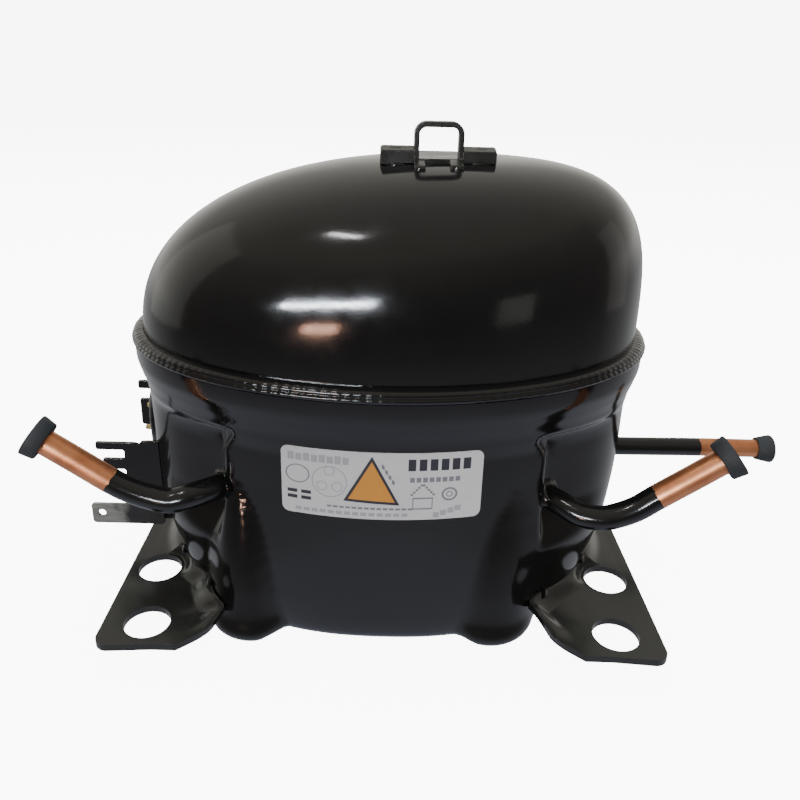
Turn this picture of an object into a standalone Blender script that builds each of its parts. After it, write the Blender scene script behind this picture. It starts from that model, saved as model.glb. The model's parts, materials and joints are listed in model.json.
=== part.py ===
"""Hermetic reciprocating compressor, built from its separate pieces.

All lengths in this file are millimetres; add_piece() turns them into metres.
Frame: +Z up, +X along the long side of the shell, -Y towards the label side.
The origin is the centre of the flat underside of the lower shell.
The crankshaft stands on the Z axis and the cylinder points along -X.
"""

import math

import bmesh
import bpy
from mathutils import Vector

MM = 0.001
GAP = 0.3                       # clearance between pieces that touch

# ---- driving dimensions -------------------------------------------------
FLANGE_A, FLANGE_B = 104.0, 72.0        # half length and half width at the weld bead
RIM_Z = 103.6                           # top edge of the lower shell
DOME_RIM_Z, DOME_TOP_Z = 107.6, 175.6
DOME_LEFT, DOME_RIGHT, DOME_HALF_WIDTH = 99.3, 99.5, 67.4
DOME_APEX_X = 19.4
DOME_POWER_LEFT, DOME_POWER_RIGHT, DOME_POWER_FRONT = 2.24, 3.82, 2.78
SHELL_WALL = 3.0
SHELL_SIDES = 40

FOOT_TOP_Z, FOOT_THICKNESS = 12.0, 2.7
FOOT_OUTER_X, FOOT_FRONT_Y, FOOT_CORNER = 103.4, 82.6, 5.0
FOOT_HOLES = ((87.0, 70.0), (91.25, 38.3))
FOOT_HOLE_RADIUS = 8.5
FOOT_STATIONS = (82.6, 81.1, 77.6, 72.6, 66.0, 61.5, 57.0, 48.0, 38.0, 27.0, 14.0)  # rows along half a foot

THROW = 9.0                             # crank radius, half the stroke
CYLINDER_Z = 114.0
BORE_RADIUS, PISTON_RADIUS = 13.2, 13.0
PISTON_CROWN_X = -53.5
BLOCK_FACE_X = -55.5                    # where the cylinder meets the valve plate
BLOCK_Z0, BLOCK_Z1 = 84.0, 94.0
SHAFT_RADIUS, PIN_RADIUS = 8.0, 5.5
STATOR_Z0, STATOR_Z1 = 30.0, 66.0
SPRING_X, SPRING_Y = 42.0, 32.0
HEAD_BOLT_OFFSET = 16.0

# Centre lines of the stub tubes, from inside the shell out to the open end.
SUCTION_ROUTE = ((-53.5, -41.0, 57.8), (-58.5, -47.5, 58.6), (-63.8, -54.0, 59.7), (-70.4, -59.0, 59.8),
                 (-77.1, -60.5, 58.6), (-84.6, -60.5, 60.0), (-91.6, -60.5, 62.6), (-98.4, -60.5, 66.4),
                 (-110.2, -60.5, 74.6), (-121.9, -60.5, 82.6))
PROCESS_ROUTE = ((54.0, -40.0, 57.0), (60.0, -47.0, 57.2), (65.3, -53.5, 57.2), (71.5, -58.5, 55.9),
                 (78.3, -60.5, 55.8), (84.0, -60.5, 57.0), (90.8, -60.5, 60.1), (97.8, -60.5, 65.4),
                 (109.0, -60.5, 73.5), (119.9, -60.5, 81.5))
DISCHARGE_ROUTE = ((88.0, 10.0, 49.8), (94.0, 8.8, 49.4), (102.0, 8.0, 49.0), (118.0, 8.0, 49.1),
                   (140.0, 8.0, 49.4), (168.0, 8.0, 49.4))
FRONT_CAP, REAR_CAP = (7.1, 7.7, 2.9), (4.9, 6.15, 4.1)     # radius at the tube side, at the end, overhang
# name, centre line, outer and inner radius, cap
TUBES = (("suction_tube", SUCTION_ROUTE, 4.6, 3.5, FRONT_CAP),
         ("process_tube", PROCESS_ROUTE, 4.5, 3.4, FRONT_CAP),
         ("discharge_tube", DISCHARGE_ROUTE, 4.0, 3.0, REAR_CAP))
WALL_CROSSING, HOLE_CLEARANCE = 5, 0.4     # route points that lie in or near the shell wall; gap round the tube
HEADER_RADIUS, HEADER_Z, HEADER_FACE = 12.7, 62.0, -99.0
PIN_CIRCLE, PIN_BORE = 5.5, 1.5

MATERIALS = {
    "black_paint": ((0.012, 0.012, 0.014), 0.0, 0.22),
    "copper": ((0.72, 0.32, 0.17), 1.0, 0.35),
    "rubber": ((0.03, 0.035, 0.04), 0.0, 0.8),
    "label": ((0.85, 0.85, 0.86), 0.0, 0.4),
    "steel": ((0.55, 0.56, 0.57), 1.0, 0.35),
    "zinc": ((0.42, 0.43, 0.41), 1.0, 0.45),
    "cast_iron": ((0.22, 0.22, 0.23), 0.8, 0.6),
    "laminations": ((0.3, 0.3, 0.32), 0.9, 0.5),
    "winding": ((0.5, 0.2, 0.08), 0.6, 0.45),
    "aluminium": ((0.7, 0.71, 0.72), 1.0, 0.4),
    "plastic": ((0.75, 0.74, 0.68), 0.0, 0.5),
    "gasket": ((0.2, 0.22, 0.2), 0.0, 0.8),
    "brass": ((0.75, 0.6, 0.3), 1.0, 0.3),
}

# Outer surface of the lower shell, floor to rim: height, half length, half width,
# superellipse power, radius of the round spring lobes, inward pocket at the tube roots.
LOWER_PROFILE = (
    (0.0, 70.0, 59.5, 2.4, 12.0, 0.0),
    (1.2, 76.0, 62.6, 2.4, 14.8, 0.0),
    (4.5, 81.5, 65.0, 2.4, 17.0, 0.0),
    (11.0, 86.0, 66.0, 2.4, 15.4, 0.0),
    (16.0, 88.6, 66.3, 2.4, 14.6, 0.0),
    (25.0, 92.2, 66.8, 2.3, 13.4, 0.5),
    (38.0, 96.0, 67.3, 2.15, 11.0, 2.5),
    (52.0, 98.6, 67.7, 2.0, 7.0, 4.5),
    (68.0, 99.2, 67.8, 1.95, 0.0, 4.8),
    (79.0, 99.2, 67.8, 1.95, 0.0, 3.6),
    (86.0, 99.6, 68.0, 2.0, 0.0, 0.0),
    (93.0, 101.6, 69.6, 2.0, 0.0, 0.0),
    (98.0, 102.8, 70.8, 2.0, 0.0, 0.0),
    (RIM_Z, 103.0, 71.0, 2.0, 0.0, 0.0),
)
LOBE_LEFT, LOBE_RIGHT = (-50.0, 52.0), (41.5, 51.0)     # centres of the spring lobes, X and half spacing
LOBE_BLEND = 30                                         # higher is a sharper crease beside a lobe
POCKET_X, POCKET_WIDTH = 62.0, 9.0


# ---- scene and mesh helpers ---------------------------------------------
def clear_scene():
    for obj in list(bpy.data.objects):
        bpy.data.objects.remove(obj, do_unlink=True)


def material(name):
    found = bpy.data.materials.get(name)
    if found:
        return found
    colour, metallic, roughness = MATERIALS[name]
    made = bpy.data.materials.new(name)
    made.use_nodes = True
    shader = made.node_tree.nodes["Principled BSDF"]
    shader.inputs["Base Color"].default_value = (*colour, 1.0)
    shader.inputs["Metallic"].default_value = metallic
    shader.inputs["Roughness"].default_value = roughness
    made.diffuse_color = (*colour, 1.0)
    return made


def add_piece(name, bm, finish, pivot=(0.0, 0.0, 0.0)):
    """Makes a named object from a bmesh in millimetres, with its origin at pivot."""
    bmesh.ops.translate(bm, verts=bm.verts, vec=-Vector(pivot))
    bmesh.ops.scale(bm, verts=bm.verts, vec=(MM, MM, MM))
    bmesh.ops.recalc_face_normals(bm, faces=bm.faces)
    mesh = bpy.data.meshes.new(name)
    bm.to_mesh(mesh)
    bm.free()
    mesh.shade_smooth()
    mesh.set_sharp_from_angle(angle=math.radians(35.0))
    if finish:
        mesh.materials.append(material(finish))
    obj = bpy.data.objects.new(name, mesh)
    obj.location = Vector(pivot) * MM
    bpy.context.scene.collection.objects.link(obj)
    return obj


def add_tool(name, bm):
    """A hidden solid that only cuts or extends another piece."""
    tool = add_piece(name, bm, None)
    tool.hide_render = True
    tool.display_type = "WIRE"
    return tool


def combine(obj, operation, bm):
    """Cuts (DIFFERENCE) or extends (UNION) a piece with the shapes in a bmesh."""
    tool = add_tool(f"tool_{obj.name}_{len(obj.modifiers)}", bm)
    step = obj.modifiers.new(operation.title(), "BOOLEAN")
    step.operation = operation
    step.solver = "EXACT"
    step.object = tool


def place(axis, along, u, v):
    """Turns a height along an axis and two cross coordinates into X, Y, Z."""
    if axis == "X":
        return (along, u, v)
    if axis == "Y":
        return (v, along, u)
    return (u, v, along)


def add_box(bm, low, high):
    corners = [(x, y, z) for z in (low[2], high[2]) for y in (low[1], high[1]) for x in (low[0], high[0])]
    v = [bm.verts.new(c) for c in corners]
    for ring in ((0, 2, 3, 1), (4, 5, 7, 6), (0, 1, 5, 4), (2, 6, 7, 3), (0, 4, 6, 2), (1, 3, 7, 5)):
        bm.faces.new([v[i] for i in ring])


def add_prism(bm, outline, axis, start, end):
    """Extrudes an outline of (u, v) points along an axis, from start to end."""
    rings = [[bm.verts.new(place(axis, along, u, v)) for u, v in outline] for along in (start, end)]
    bm.faces.new(rings[0][::-1])
    bm.faces.new(rings[1])
    bridge(bm, rings[0], rings[1])


def bridge(bm, lower, upper):
    count = len(lower)
    for i in range(count):
        j = (i + 1) % count
        bm.faces.new((lower[i], lower[j], upper[j], upper[i]))


def add_turned(bm, profile, axis="Z", centre=(0.0, 0.0), sides=24, ring=False):
    """Turns (radius, along) points about an axis; ring=True closes the profile on itself."""
    loops = []
    for radius, along in profile:
        if radius < 1e-6:
            loops.append([bm.verts.new(place(axis, along, *centre))])
            continue
        angles = [2.0 * math.pi * i / sides for i in range(sides)]
        loops.append([bm.verts.new(place(axis, along, centre[0] + radius * math.cos(a),
                                         centre[1] + radius * math.sin(a))) for a in angles])
    pairs = list(zip(loops, loops[1:] + loops[:1])) if ring else list(zip(loops, loops[1:]))
    for first, second in pairs:
        join_loops(bm, first, second)


def join_loops(bm, first, second):
    if len(first) == 1 and len(second) == 1:
        return
    if len(first) == 1:
        first = first * len(second)
    if len(second) == 1:
        second = second * len(first)
    count = len(first)
    for i in range(count):
        j = (i + 1) % count
        corners = [first[i], first[j], second[j], second[i]]
        bm.faces.new(list(dict.fromkeys(corners)))


def add_cylinder(bm, radius, start, end, axis="Z", centre=(0.0, 0.0), sides=24):
    add_turned(bm, ((0.0, start), (radius, start), (radius, end), (0.0, end)), axis, centre, sides)


def smooth_path(points, steps=3):
    """A Catmull-Rom curve through the points, with steps segments between neighbours."""
    p = [Vector(q) for q in points]
    p = [2 * p[0] - p[1]] + p + [2 * p[-1] - p[-2]]
    path = []
    for i in range(1, len(p) - 2):
        for k in range(steps):
            t = k / steps
            path.append(0.5 * ((2 * p[i]) + (p[i + 1] - p[i - 1]) * t
                               + (2 * p[i - 1] - 5 * p[i] + 4 * p[i + 1] - p[i + 2]) * t * t
                               + (3 * p[i] - p[i - 1] - 3 * p[i + 1] + p[i + 2]) * t ** 3))
    path.append(p[-2])
    return path


def path_frames(path):
    """Two cross directions at each point of a path, turned as little as possible."""
    frames = []
    side = None
    for i, point in enumerate(path):
        tangent = (path[min(i + 1, len(path) - 1)] - path[max(i - 1, 0)]).normalized()
        if side is None:
            side = tangent.orthogonal()
        side = (side - tangent * side.dot(tangent)).normalized()
        frames.append((point, side, tangent.cross(side)))
    return frames


def path_ring(bm, frame, radius, sides):
    point, side, other = frame
    angles = [2.0 * math.pi * i / sides for i in range(sides)]
    return [bm.verts.new(point + radius * (math.cos(a) * side + math.sin(a) * other)) for a in angles]


def add_rod(bm, path, radius, sides=12):
    rings = [path_ring(bm, f, radius, sides) for f in path_frames(path)]
    for lower, upper in zip(rings, rings[1:]):
        bridge(bm, lower, upper)
    bm.faces.new(rings[0][::-1])
    bm.faces.new(rings[-1])


def add_pipe(bm, path, outer, inner, sides=16):
    """A hollow tube along a path, open at both ends."""
    frames = path_frames(path)
    skins = [[path_ring(bm, f, radius, sides) for f in frames] for radius in (outer, inner)]
    for skin in skins:
        for lower, upper in zip(skin, skin[1:]):
            bridge(bm, lower, upper)
    bridge(bm, skins[0][0], skins[1][0])
    bridge(bm, skins[0][-1], skins[1][-1])


# ---- shell surfaces -----------------------------------------------------
def signed_power(value, power):
    return math.copysign(abs(value) ** power, value)


def lobe_reach(x, y, radius):
    """Distance from the Z axis to the far side of a spring lobe, in the direction of a point."""
    centre = LOBE_LEFT if x < 0.0 else LOBE_RIGHT
    along = (x * centre[0] + abs(y) * centre[1]) / math.hypot(x, y)
    inside = radius * radius - centre[0] ** 2 - centre[1] ** 2 + along * along
    return along + math.sqrt(inside) if radius > 0.0 and inside > 0.0 else 0.0


def lower_ring(level, inset, lift=0.0):
    """Points round the lower shell at one row of its profile."""
    z, a, b, power, lobe, pocket = level
    a = a - inset
    b = b - inset
    points = []
    for i in range(SHELL_SIDES):
        angle = 2.0 * math.pi * i / SHELL_SIDES
        x = a * signed_power(math.cos(angle), 2.0 / power)
        y = b * signed_power(math.sin(angle), 2.0 / power)
        reach = lobe_reach(x, y, lobe - inset) / math.hypot(x, y)
        grow = (1.0 + reach ** LOBE_BLEND) ** (1.0 / LOBE_BLEND)
        normal = Vector((x / (a * a), y / (b * b))).normalized()
        push = pocket * math.exp(-0.5 * ((abs(x) - POCKET_X) / POCKET_WIDTH) ** 2)
        push *= min(1.0, abs(y) / 20.0)
        points.append((x * grow - push * normal.x, y * grow - push * normal.y, z + lift))
    return points


def level_at(z):
    for low, high in zip(LOWER_PROFILE, LOWER_PROFILE[1:]):
        if low[0] <= z <= high[0]:
            t = (z - low[0]) / (high[0] - low[0])
            return tuple(p + (q - p) * t for p, q in zip(low, high))
    return LOWER_PROFILE[-1]


def ring_crossing(z, value, along, across, sign):
    """Farthest the lower shell reaches along one axis where it crosses a value on the other."""
    ring = lower_ring(level_at(z), 0.0)
    farthest = 0.0
    for start, end in zip(ring, ring[1:] + ring[:1]):
        first, last = start[across], end[across]
        if min(first, last) <= value <= max(first, last) and first != last:
            t = (value - first) / (last - first)
            farthest = max(farthest, sign * (start[along] + (end[along] - start[along]) * t))
    return farthest


def shell_x(y, z, side):
    """Half length of the lower shell on its left (-1) or right (1) side at a Y and a height."""
    return ring_crossing(z, y, 0, 1, side)


def shell_y(x, z):
    """Half width of the lower shell on its front side at an X and a height."""
    return ring_crossing(z, x, 1, 0, -1)


def dome_section(u, inset):
    """Left end, right end and half width of the dome at height fraction u."""
    left = (1.0 - u ** DOME_POWER_LEFT) ** (1.0 / DOME_POWER_LEFT)
    right = (1.0 - u ** DOME_POWER_RIGHT) ** (1.0 / DOME_POWER_RIGHT)
    front = (1.0 - u ** DOME_POWER_FRONT) ** (1.0 / DOME_POWER_FRONT)
    x_left = DOME_APEX_X - (DOME_LEFT - inset + DOME_APEX_X) * left
    x_right = DOME_APEX_X + (DOME_RIGHT - inset - DOME_APEX_X) * right
    return x_left, x_right, (DOME_HALF_WIDTH - inset) * front


def dome_ring(u, inset):
    x_left, x_right, half_width = dome_section(u, inset)
    z = DOME_RIM_Z + (DOME_TOP_Z - inset - DOME_RIM_Z) * u
    middle = 0.5 * (x_left + x_right)
    reach = 0.5 * (x_right - x_left)
    angles = [2.0 * math.pi * i / SHELL_SIDES for i in range(SHELL_SIDES)]
    return [(middle + reach * math.cos(a), half_width * math.sin(a), z) for a in angles]


def dome_z(x, y):
    """Height of the dome's outer surface above a point, by bisection."""
    low, high = 0.0, 1.0
    for _ in range(40):
        u = 0.5 * (low + high)
        x_left, x_right, half_width = dome_section(u, 0.0)
        middle = 0.5 * (x_left + x_right)
        reach = 0.5 * (x_right - x_left)
        inside = ((x - middle) / reach) ** 2 + (y / half_width) ** 2 < 1.0
        low, high = (u, high) if inside else (low, u)
    return DOME_RIM_Z + (DOME_TOP_Z - DOME_RIM_Z) * low


def loft(bm, rings):
    """Skins a stack of point rings and closes both of its ends with a flat face."""
    loops = [[bm.verts.new(p) for p in ring] for ring in rings]
    for lower, upper in zip(loops, loops[1:]):
        bridge(bm, lower, upper)
    bm.faces.new(loops[0][::-1])
    bm.faces.new(loops[-1])


def oval(a, b, z):
    angles = [2.0 * math.pi * i / SHELL_SIDES for i in range(SHELL_SIDES)]
    return [(a * math.cos(t), b * math.sin(t), z) for t in angles]


def build_lower_shell():
    outside = [lower_ring(level, 0.0) for level in LOWER_PROFILE]
    seat = [oval(99.7, 67.7, RIM_Z), oval(99.7, 67.7, 95.6), oval(96.4, 64.4, 95.2)]
    floor = [lower_ring(LOWER_PROFILE[0], SHELL_WALL, SHELL_WALL), lower_ring(LOWER_PROFILE[2], SHELL_WALL, 1.7)]
    inside = floor + [lower_ring(LOWER_PROFILE[i], SHELL_WALL) for i in (4, 6, 8, 10)]
    bm = bmesh.new()
    loft(bm, outside + seat + inside[::-1])
    shell = add_piece("lower_shell", bm, "black_paint")
    holes = bmesh.new()
    for _, points, outer, _, _ in TUBES:
        add_rod(holes, smooth_path(points[:WALL_CROSSING], 2), outer + HOLE_CLEARANCE, 12)
    combine(shell, "DIFFERENCE", holes)
    mouth = bmesh.new()
    add_cylinder(mouth, HEADER_RADIUS + GAP + 0.2, -110.0, -80.0, "X", (0.0, HEADER_Z), 24)
    combine(shell, "DIFFERENCE", mouth)


def build_upper_shell():
    fractions = [math.sin(0.5 * math.pi * i / 9.0) for i in range(9)] + [0.9992]
    skirt_z = 96.3
    outside = [oval(DOME_LEFT, DOME_HALF_WIDTH - 0.2, skirt_z)] + [dome_ring(u, 0.0) for u in fractions]
    inside = [oval(DOME_LEFT - SHELL_WALL, DOME_HALF_WIDTH - SHELL_WALL - 0.2, skirt_z)]
    inside += [dome_ring(u, SHELL_WALL) for u in fractions[::2] + fractions[-1:]]
    bm = bmesh.new()
    loft(bm, outside[::-1] + inside)
    add_piece("upper_shell", bm, "black_paint")


def build_weld_bead():
    section = ((FLANGE_A - 4.3, 0.3), (FLANGE_A - 0.4, 0.3), (FLANGE_A, 1.6), (FLANGE_A - 1.4, 3.4),
               (FLANGE_A - 4.2, 4.4))
    narrower = FLANGE_A - FLANGE_B
    bm = bmesh.new()
    loops = [[bm.verts.new(p) for p in oval(a, a - narrower, RIM_Z + rise)] for a, rise in section]
    for lower, upper in zip(loops, loops[1:] + loops[:1]):
        bridge(bm, lower, upper)
    add_piece("shell_weld_bead", bm, "black_paint")


def build_foot(name, side):
    """A punched foot: flat outside, raised towards the edge that is welded to the shell."""
    rise, band, gap = 4.0, 5.0, 1.3
    bend_x, bend_y = 63.0, 72.6             # where the slanted inner edge changes direction
    stations = [-y for y in FOOT_STATIONS] + [0.0] + list(FOOT_STATIONS[::-1])
    rows = len(stations) - 1
    grid = []
    for y in stations:
        slant = 1.2 if abs(y) > bend_y else 0.52
        shell = max(shell_x(y, FOOT_TOP_Z - FOOT_THICKNESS, side), shell_x(y, FOOT_TOP_Z + rise, side))
        inner = max(shell + gap, bend_x + slant * (abs(y) - bend_y))
        past = max(0.0, abs(y) - (FOOT_FRONT_Y - FOOT_CORNER))
        outer = FOOT_OUTER_X - FOOT_CORNER + math.sqrt(max(0.0, FOOT_CORNER ** 2 - past ** 2))
        near_shell = min(1.0, max(0.0, (72.0 - abs(y)) / 8.0))
        row = []
        for x, lift in ((outer, 0.0), (0.5 * (outer + inner + band), 0.0), (inner + band, 0.0),
                        (inner + 0.6 * band, 0.35), (inner + 0.25 * band, 0.85), (inner, 1.0)):
            row.append((side * x, y, FOOT_TOP_Z + rise * lift * near_shell))
        grid.append(row)
    bm = bmesh.new()
    top = [[bm.verts.new(p) for p in row] for row in grid]
    under = [[bm.verts.new((x, y, z - FOOT_THICKNESS)) for x, y, z in row] for row in grid]
    last = len(grid[0]) - 1
    for r in range(rows):
        for c in range(last):
            bm.faces.new((top[r][c], top[r][c + 1], top[r + 1][c + 1], top[r + 1][c]))
            bm.faces.new((under[r][c], under[r + 1][c], under[r + 1][c + 1], under[r][c + 1]))
        for c in (0, last):
            bm.faces.new((top[r][c], top[r + 1][c], under[r + 1][c], under[r][c]))
    for c in range(last):
        for r in (0, rows):
            bm.faces.new((top[r][c], top[r][c + 1], under[r][c + 1], under[r][c]))
    foot = add_piece(name, bm, "black_paint")
    punches = bmesh.new()
    for x, y in FOOT_HOLES:
        for end in (-1, 1):
            add_cylinder(punches, FOOT_HOLE_RADIUS, 4.0, 22.0, "Z", (side * x, end * y), 24)
    combine(foot, "DIFFERENCE", punches)


def build_top_bracket():
    """A bent strap on the dome: a lifting loop, a flanged tab on each side of it, and two short lugs."""
    front, back, base_back = -18.0, -12.0, 8.0
    tab_front_z, tab_back_z, tab_sheet, strap = 179.2, 180.5, 1.5, 2.0
    left, leg_left, leg_right, right = -4.4, 7.7, 25.6, 37.5
    loop_top, loop_radius = 189.3, 4.6
    plate_z = DOME_TOP_Z + 0.35
    arc = [math.radians(a) for a in range(0, 91, 15)]

    def arch(inset):
        radius = loop_radius - inset
        x0, x1, z1 = leg_left + loop_radius, leg_right - loop_radius, loop_top - loop_radius
        start = [(x0 - radius * math.cos(a), z1 + radius * math.sin(a)) for a in arc]
        end = [(x1 + radius * math.sin(a), z1 + radius * math.cos(a)) for a in arc]
        return start + end

    outline = [(leg_left, plate_z)] + arch(0.0) + [(leg_right, plate_z)]
    hollow = [(leg_right - strap, plate_z)] + arch(strap)[::-1] + [(leg_left + strap, plate_z)]
    bm = bmesh.new()
    add_prism(bm, [(z, x) for x, z in outline + hollow], "Y", front, back)
    bracket = add_piece("top_bracket", bm, "black_paint")
    plate = bmesh.new()
    add_box(plate, (leg_left, front, plate_z - 0.05), (leg_right, base_back, plate_z + 0.9))
    combine(bracket, "UNION", plate)
    tilt = (tab_back_z - tab_front_z) / (back - front)
    sheet_y0, sheet_y1 = front + 0.5, back - 0.1
    sheet_z0, sheet_z1 = tab_front_z + 0.5 * tilt, tab_back_z - 0.02
    sheet = [(sheet_y0, sheet_z0), (sheet_y1, sheet_z1), (sheet_y1, sheet_z1 - tab_sheet),
             (sheet_y0, sheet_z0 - tab_sheet)]
    for x0, x1 in ((left, leg_left + 1.0), (leg_right - 1.0, right)):
        flange = bmesh.new()
        floor = [(dome_z(x, front) + 0.4, x) for x in (x0, 0.5 * (x0 + x1), x1)]
        add_prism(flange, floor + [(tab_front_z, x1), (tab_front_z, x0)], "Y", front - 0.02, front + 1.4)
        combine(bracket, "UNION", flange)
        flat = bmesh.new()
        add_prism(flat, sheet, "X", x0 + 0.1, x1 - 0.1)
        combine(bracket, "UNION", flat)
    for x0, x1 in ((leg_left + 0.2, 11.8), (20.6, leg_right - 0.2)):
        lug = bmesh.new()
        reach = [front + 1.0, front - 3.0, front - 7.5]
        lower = [(y, dome_z(0.5 * (x0 + x1), y) + 0.45) for y in reach]
        upper = [(y, z + 1.5) for y, z in lower[::-1]]
        add_prism(lug, lower + upper, "X", x0, x1)
        combine(bracket, "UNION", lug)


# ---- tubes through the shell wall --------------------------------------
def build_tubes():
    for name, points, outer, inner, cap in TUBES:
        bm = bmesh.new()
        add_pipe(bm, smooth_path(points, 2), outer, inner, 12)
        add_piece(name, bm, "copper")
        build_tube_cap(f"{name}_cap", points, outer, inner, cap)


def build_tube_cap(name, points, outer, inner, cap):
    """A rubber bung: a collar over the tube's end and a plug inside it."""
    end = Vector(points[-1])
    direction = (end - Vector(points[-2])).normalized()
    side = direction.orthogonal().normalized()
    frames = (side, direction.cross(side))
    near_radius, far_radius, overhang = cap
    section = ((0.0, -7.0), (inner - GAP, -7.0), (inner - GAP, 0.4), (outer + GAP, 0.4), (outer + GAP, -2.6),
               (near_radius, -2.6), (far_radius, overhang), (0.0, overhang))
    sides = 16
    bm = bmesh.new()
    loops = []
    for radius, along in section:
        middle = end + direction * along
        if radius < 1e-6:
            loops.append([bm.verts.new(middle)])
            continue
        loops.append(path_ring(bm, (middle, *frames), radius, sides))
    for first, second in zip(loops, loops[1:]):
        join_loops(bm, first, second)
    add_piece(name, bm, "rubber", tuple(end))


def build_label():
    x0, x1, z0, z1 = -36.2, 34.2, 57.8, 84.4
    columns, rows = 12, 2
    bm = bmesh.new()
    skins = []
    for offset in (0.35, 0.65):
        skin = []
        for r in range(rows + 1):
            z = z0 + (z1 - z0) * r / rows
            line = [x0 + (x1 - x0) * c / columns for c in range(columns + 1)]
            skin.append([bm.verts.new((x, -shell_y(x, z) - offset, z)) for x in line])
        skins.append(skin)
    for skin in skins:
        for r in range(rows):
            for c in range(columns):
                bm.faces.new((skin[r][c], skin[r][c + 1], skin[r + 1][c + 1], skin[r + 1][c]))
    rims = []
    for skin in skins:
        rims.append(skin[0] + [row[-1] for row in skin[1:]] + skin[-1][-2::-1] + [row[0] for row in skin[-2:0:-1]])
    bridge(bm, rims[0], rims[1])
    add_piece("data_label", bm, "label")


# ---- terminals on the left end ------------------------------------------
def build_terminals():
    angles = [math.radians(a) for a in (90, 210, 330)]
    pins = [(PIN_CIRCLE * math.cos(a), HEADER_Z + PIN_CIRCLE * math.sin(a)) for a in angles]
    face, back = HEADER_FACE, HEADER_FACE + 8.0
    connector_x0, connector_x1 = back + 0.4, back + 8.2
    bm = bmesh.new()
    section = ((0.0, face), (HEADER_RADIUS - 4.0, face), (HEADER_RADIUS - 0.6, face + 2.5),
               (HEADER_RADIUS, face + 4.5), (HEADER_RADIUS, back), (0.0, back))
    add_turned(bm, section, "X", (0.0, HEADER_Z), 24)
    header = add_piece("terminal_header", bm, "steel")
    bores = bmesh.new()
    for pin in pins:
        add_cylinder(bores, PIN_BORE, face - 3.0, back + 3.0, "X", pin, 12)
    combine(header, "DIFFERENCE", bores)
    for number, pin in enumerate(pins, 1):
        bm = bmesh.new()
        add_cylinder(bm, 1.15, face - 4.2, connector_x1 - 1.9, "X", pin, 12)
        add_piece(f"terminal_pin_{number}", bm, "brass")
    bm = bmesh.new()
    add_box(bm, (connector_x0, -10.0, 52.0), (connector_x1, 10.0, 71.5))
    connector = add_piece("lead_connector", bm, "plastic")
    sockets = bmesh.new()
    for pin in pins:
        add_cylinder(sockets, PIN_BORE, connector_x0 - 2.6, connector_x1 - 1.4, "X", pin, 12)
    combine(connector, "DIFFERENCE", sockets)


def build_terminal_bracket():
    """Two cheeks joined by a cross-piece below the terminals; the front cheek carries the fork."""
    cheek_y0, cheek_y1 = 19.6, 21.0
    cross_x0, cross_x1 = -101.2, -99.8
    foot_z, cross_z0, cross_z1 = 24.0, 32.0, 45.0

    def inner_edge(heights):
        return [(-(shell_x(cheek_y0 - 0.6, z, -1) + 0.5), z) for z in heights]

    fork = [(-100.4, 60.8), (-101.4, 59.2), (-102.8, 60.0), (-118.4, 60.0), (-119.4, 59.0), (-119.4, 57.5),
            (-118.4, 56.5), (-108.8, 56.5), (-107.8, 55.5), (-107.8, 53.5), (-108.8, 52.5), (-117.0, 52.5),
            (-117.0, 47.5), (-108.8, 47.5), (-107.8, 46.5), (-107.8, 44.5), (-108.8, 43.5), (-116.0, 43.5),
            (-117.0, 42.5), (-117.0, 41.0), (-116.0, 40.0), (-101.0, 40.0), (-99.0, foot_z)]
    stop = [(-101.0, 76.0), (-101.2, 70.0), (-113.7, 70.0), (-113.7, 66.0), (-106.0, 66.0), (-106.0, 61.0),
            (-113.5, 61.0), (-113.5, 48.0), (-104.0, 46.0), (-99.0, foot_z)]
    front = inner_edge((foot_z, 38.0, 52.0, 61.0)) + fork
    rear = inner_edge((foot_z, 38.0, 52.0, 68.0, 76.0)) + stop
    bm = bmesh.new()
    add_box(bm, (cross_x0, -cheek_y1 + 0.05, cross_z0), (cross_x1, cheek_y1 - 0.05, cross_z1))
    bracket = add_piece("terminal_bracket", bm, "black_paint")
    for outline, y0, y1 in ((front, -cheek_y1, -cheek_y0), (rear, cheek_y0, cheek_y1)):
        cheek = bmesh.new()
        add_prism(cheek, [(z, x) for x, z in outline], "Y", y0, y1)
        combine(bracket, "UNION", cheek)


def build_ground_tab():
    corner = 1.6
    x0, x1, z0, z1 = -123.7, -93.0, 22.0, 31.6
    outline = [(z0, x1), (z0, x0 + corner), (z0 + corner, x0), (z1 - corner, x0), (z1, x0 + corner), (z1, x1)]
    bm = bmesh.new()
    add_prism(bm, outline, "Y", -22.3, -21.3)
    tab = add_piece("ground_tab", bm, "zinc")
    hole = bmesh.new()
    add_cylinder(hole, 1.6, -25.0, -19.0, "Y", (27.0, -119.4), 16)
    combine(tab, "DIFFERENCE", hole)


# ---- suspension ---------------------------------------------------------
def corners():
    return [(sx * SPRING_X, sy * SPRING_Y) for sx in (-1, 1) for sy in (-1, 1)]


def build_suspension():
    for number, centre in enumerate(corners(), 1):
        bm = bmesh.new()
        add_turned(bm, ((0.0, 3.3), (6.6, 3.3), (6.6, 5.3), (4.8, 5.3), (4.8, 14.0), (3.8, 15.0), (0.0, 15.0)),
                   "Z", centre, 16)
        add_piece(f"spring_pin_{number}", bm, "plastic")
        build_spring(f"suspension_spring_{number}", centre)
        bm = bmesh.new()
        seat = ((0.0, 17.0), (3.8, 17.0), (4.8, 18.0), (4.8, 26.5), (7.5, 26.5), (7.5, 29.7), (2.5, 29.7),
                (2.5, 84.0), (0.0, 84.0))
        add_turned(bm, seat, "Z", centre, 16)
        add_piece(f"stator_bolt_{number}", bm, "steel")


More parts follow.
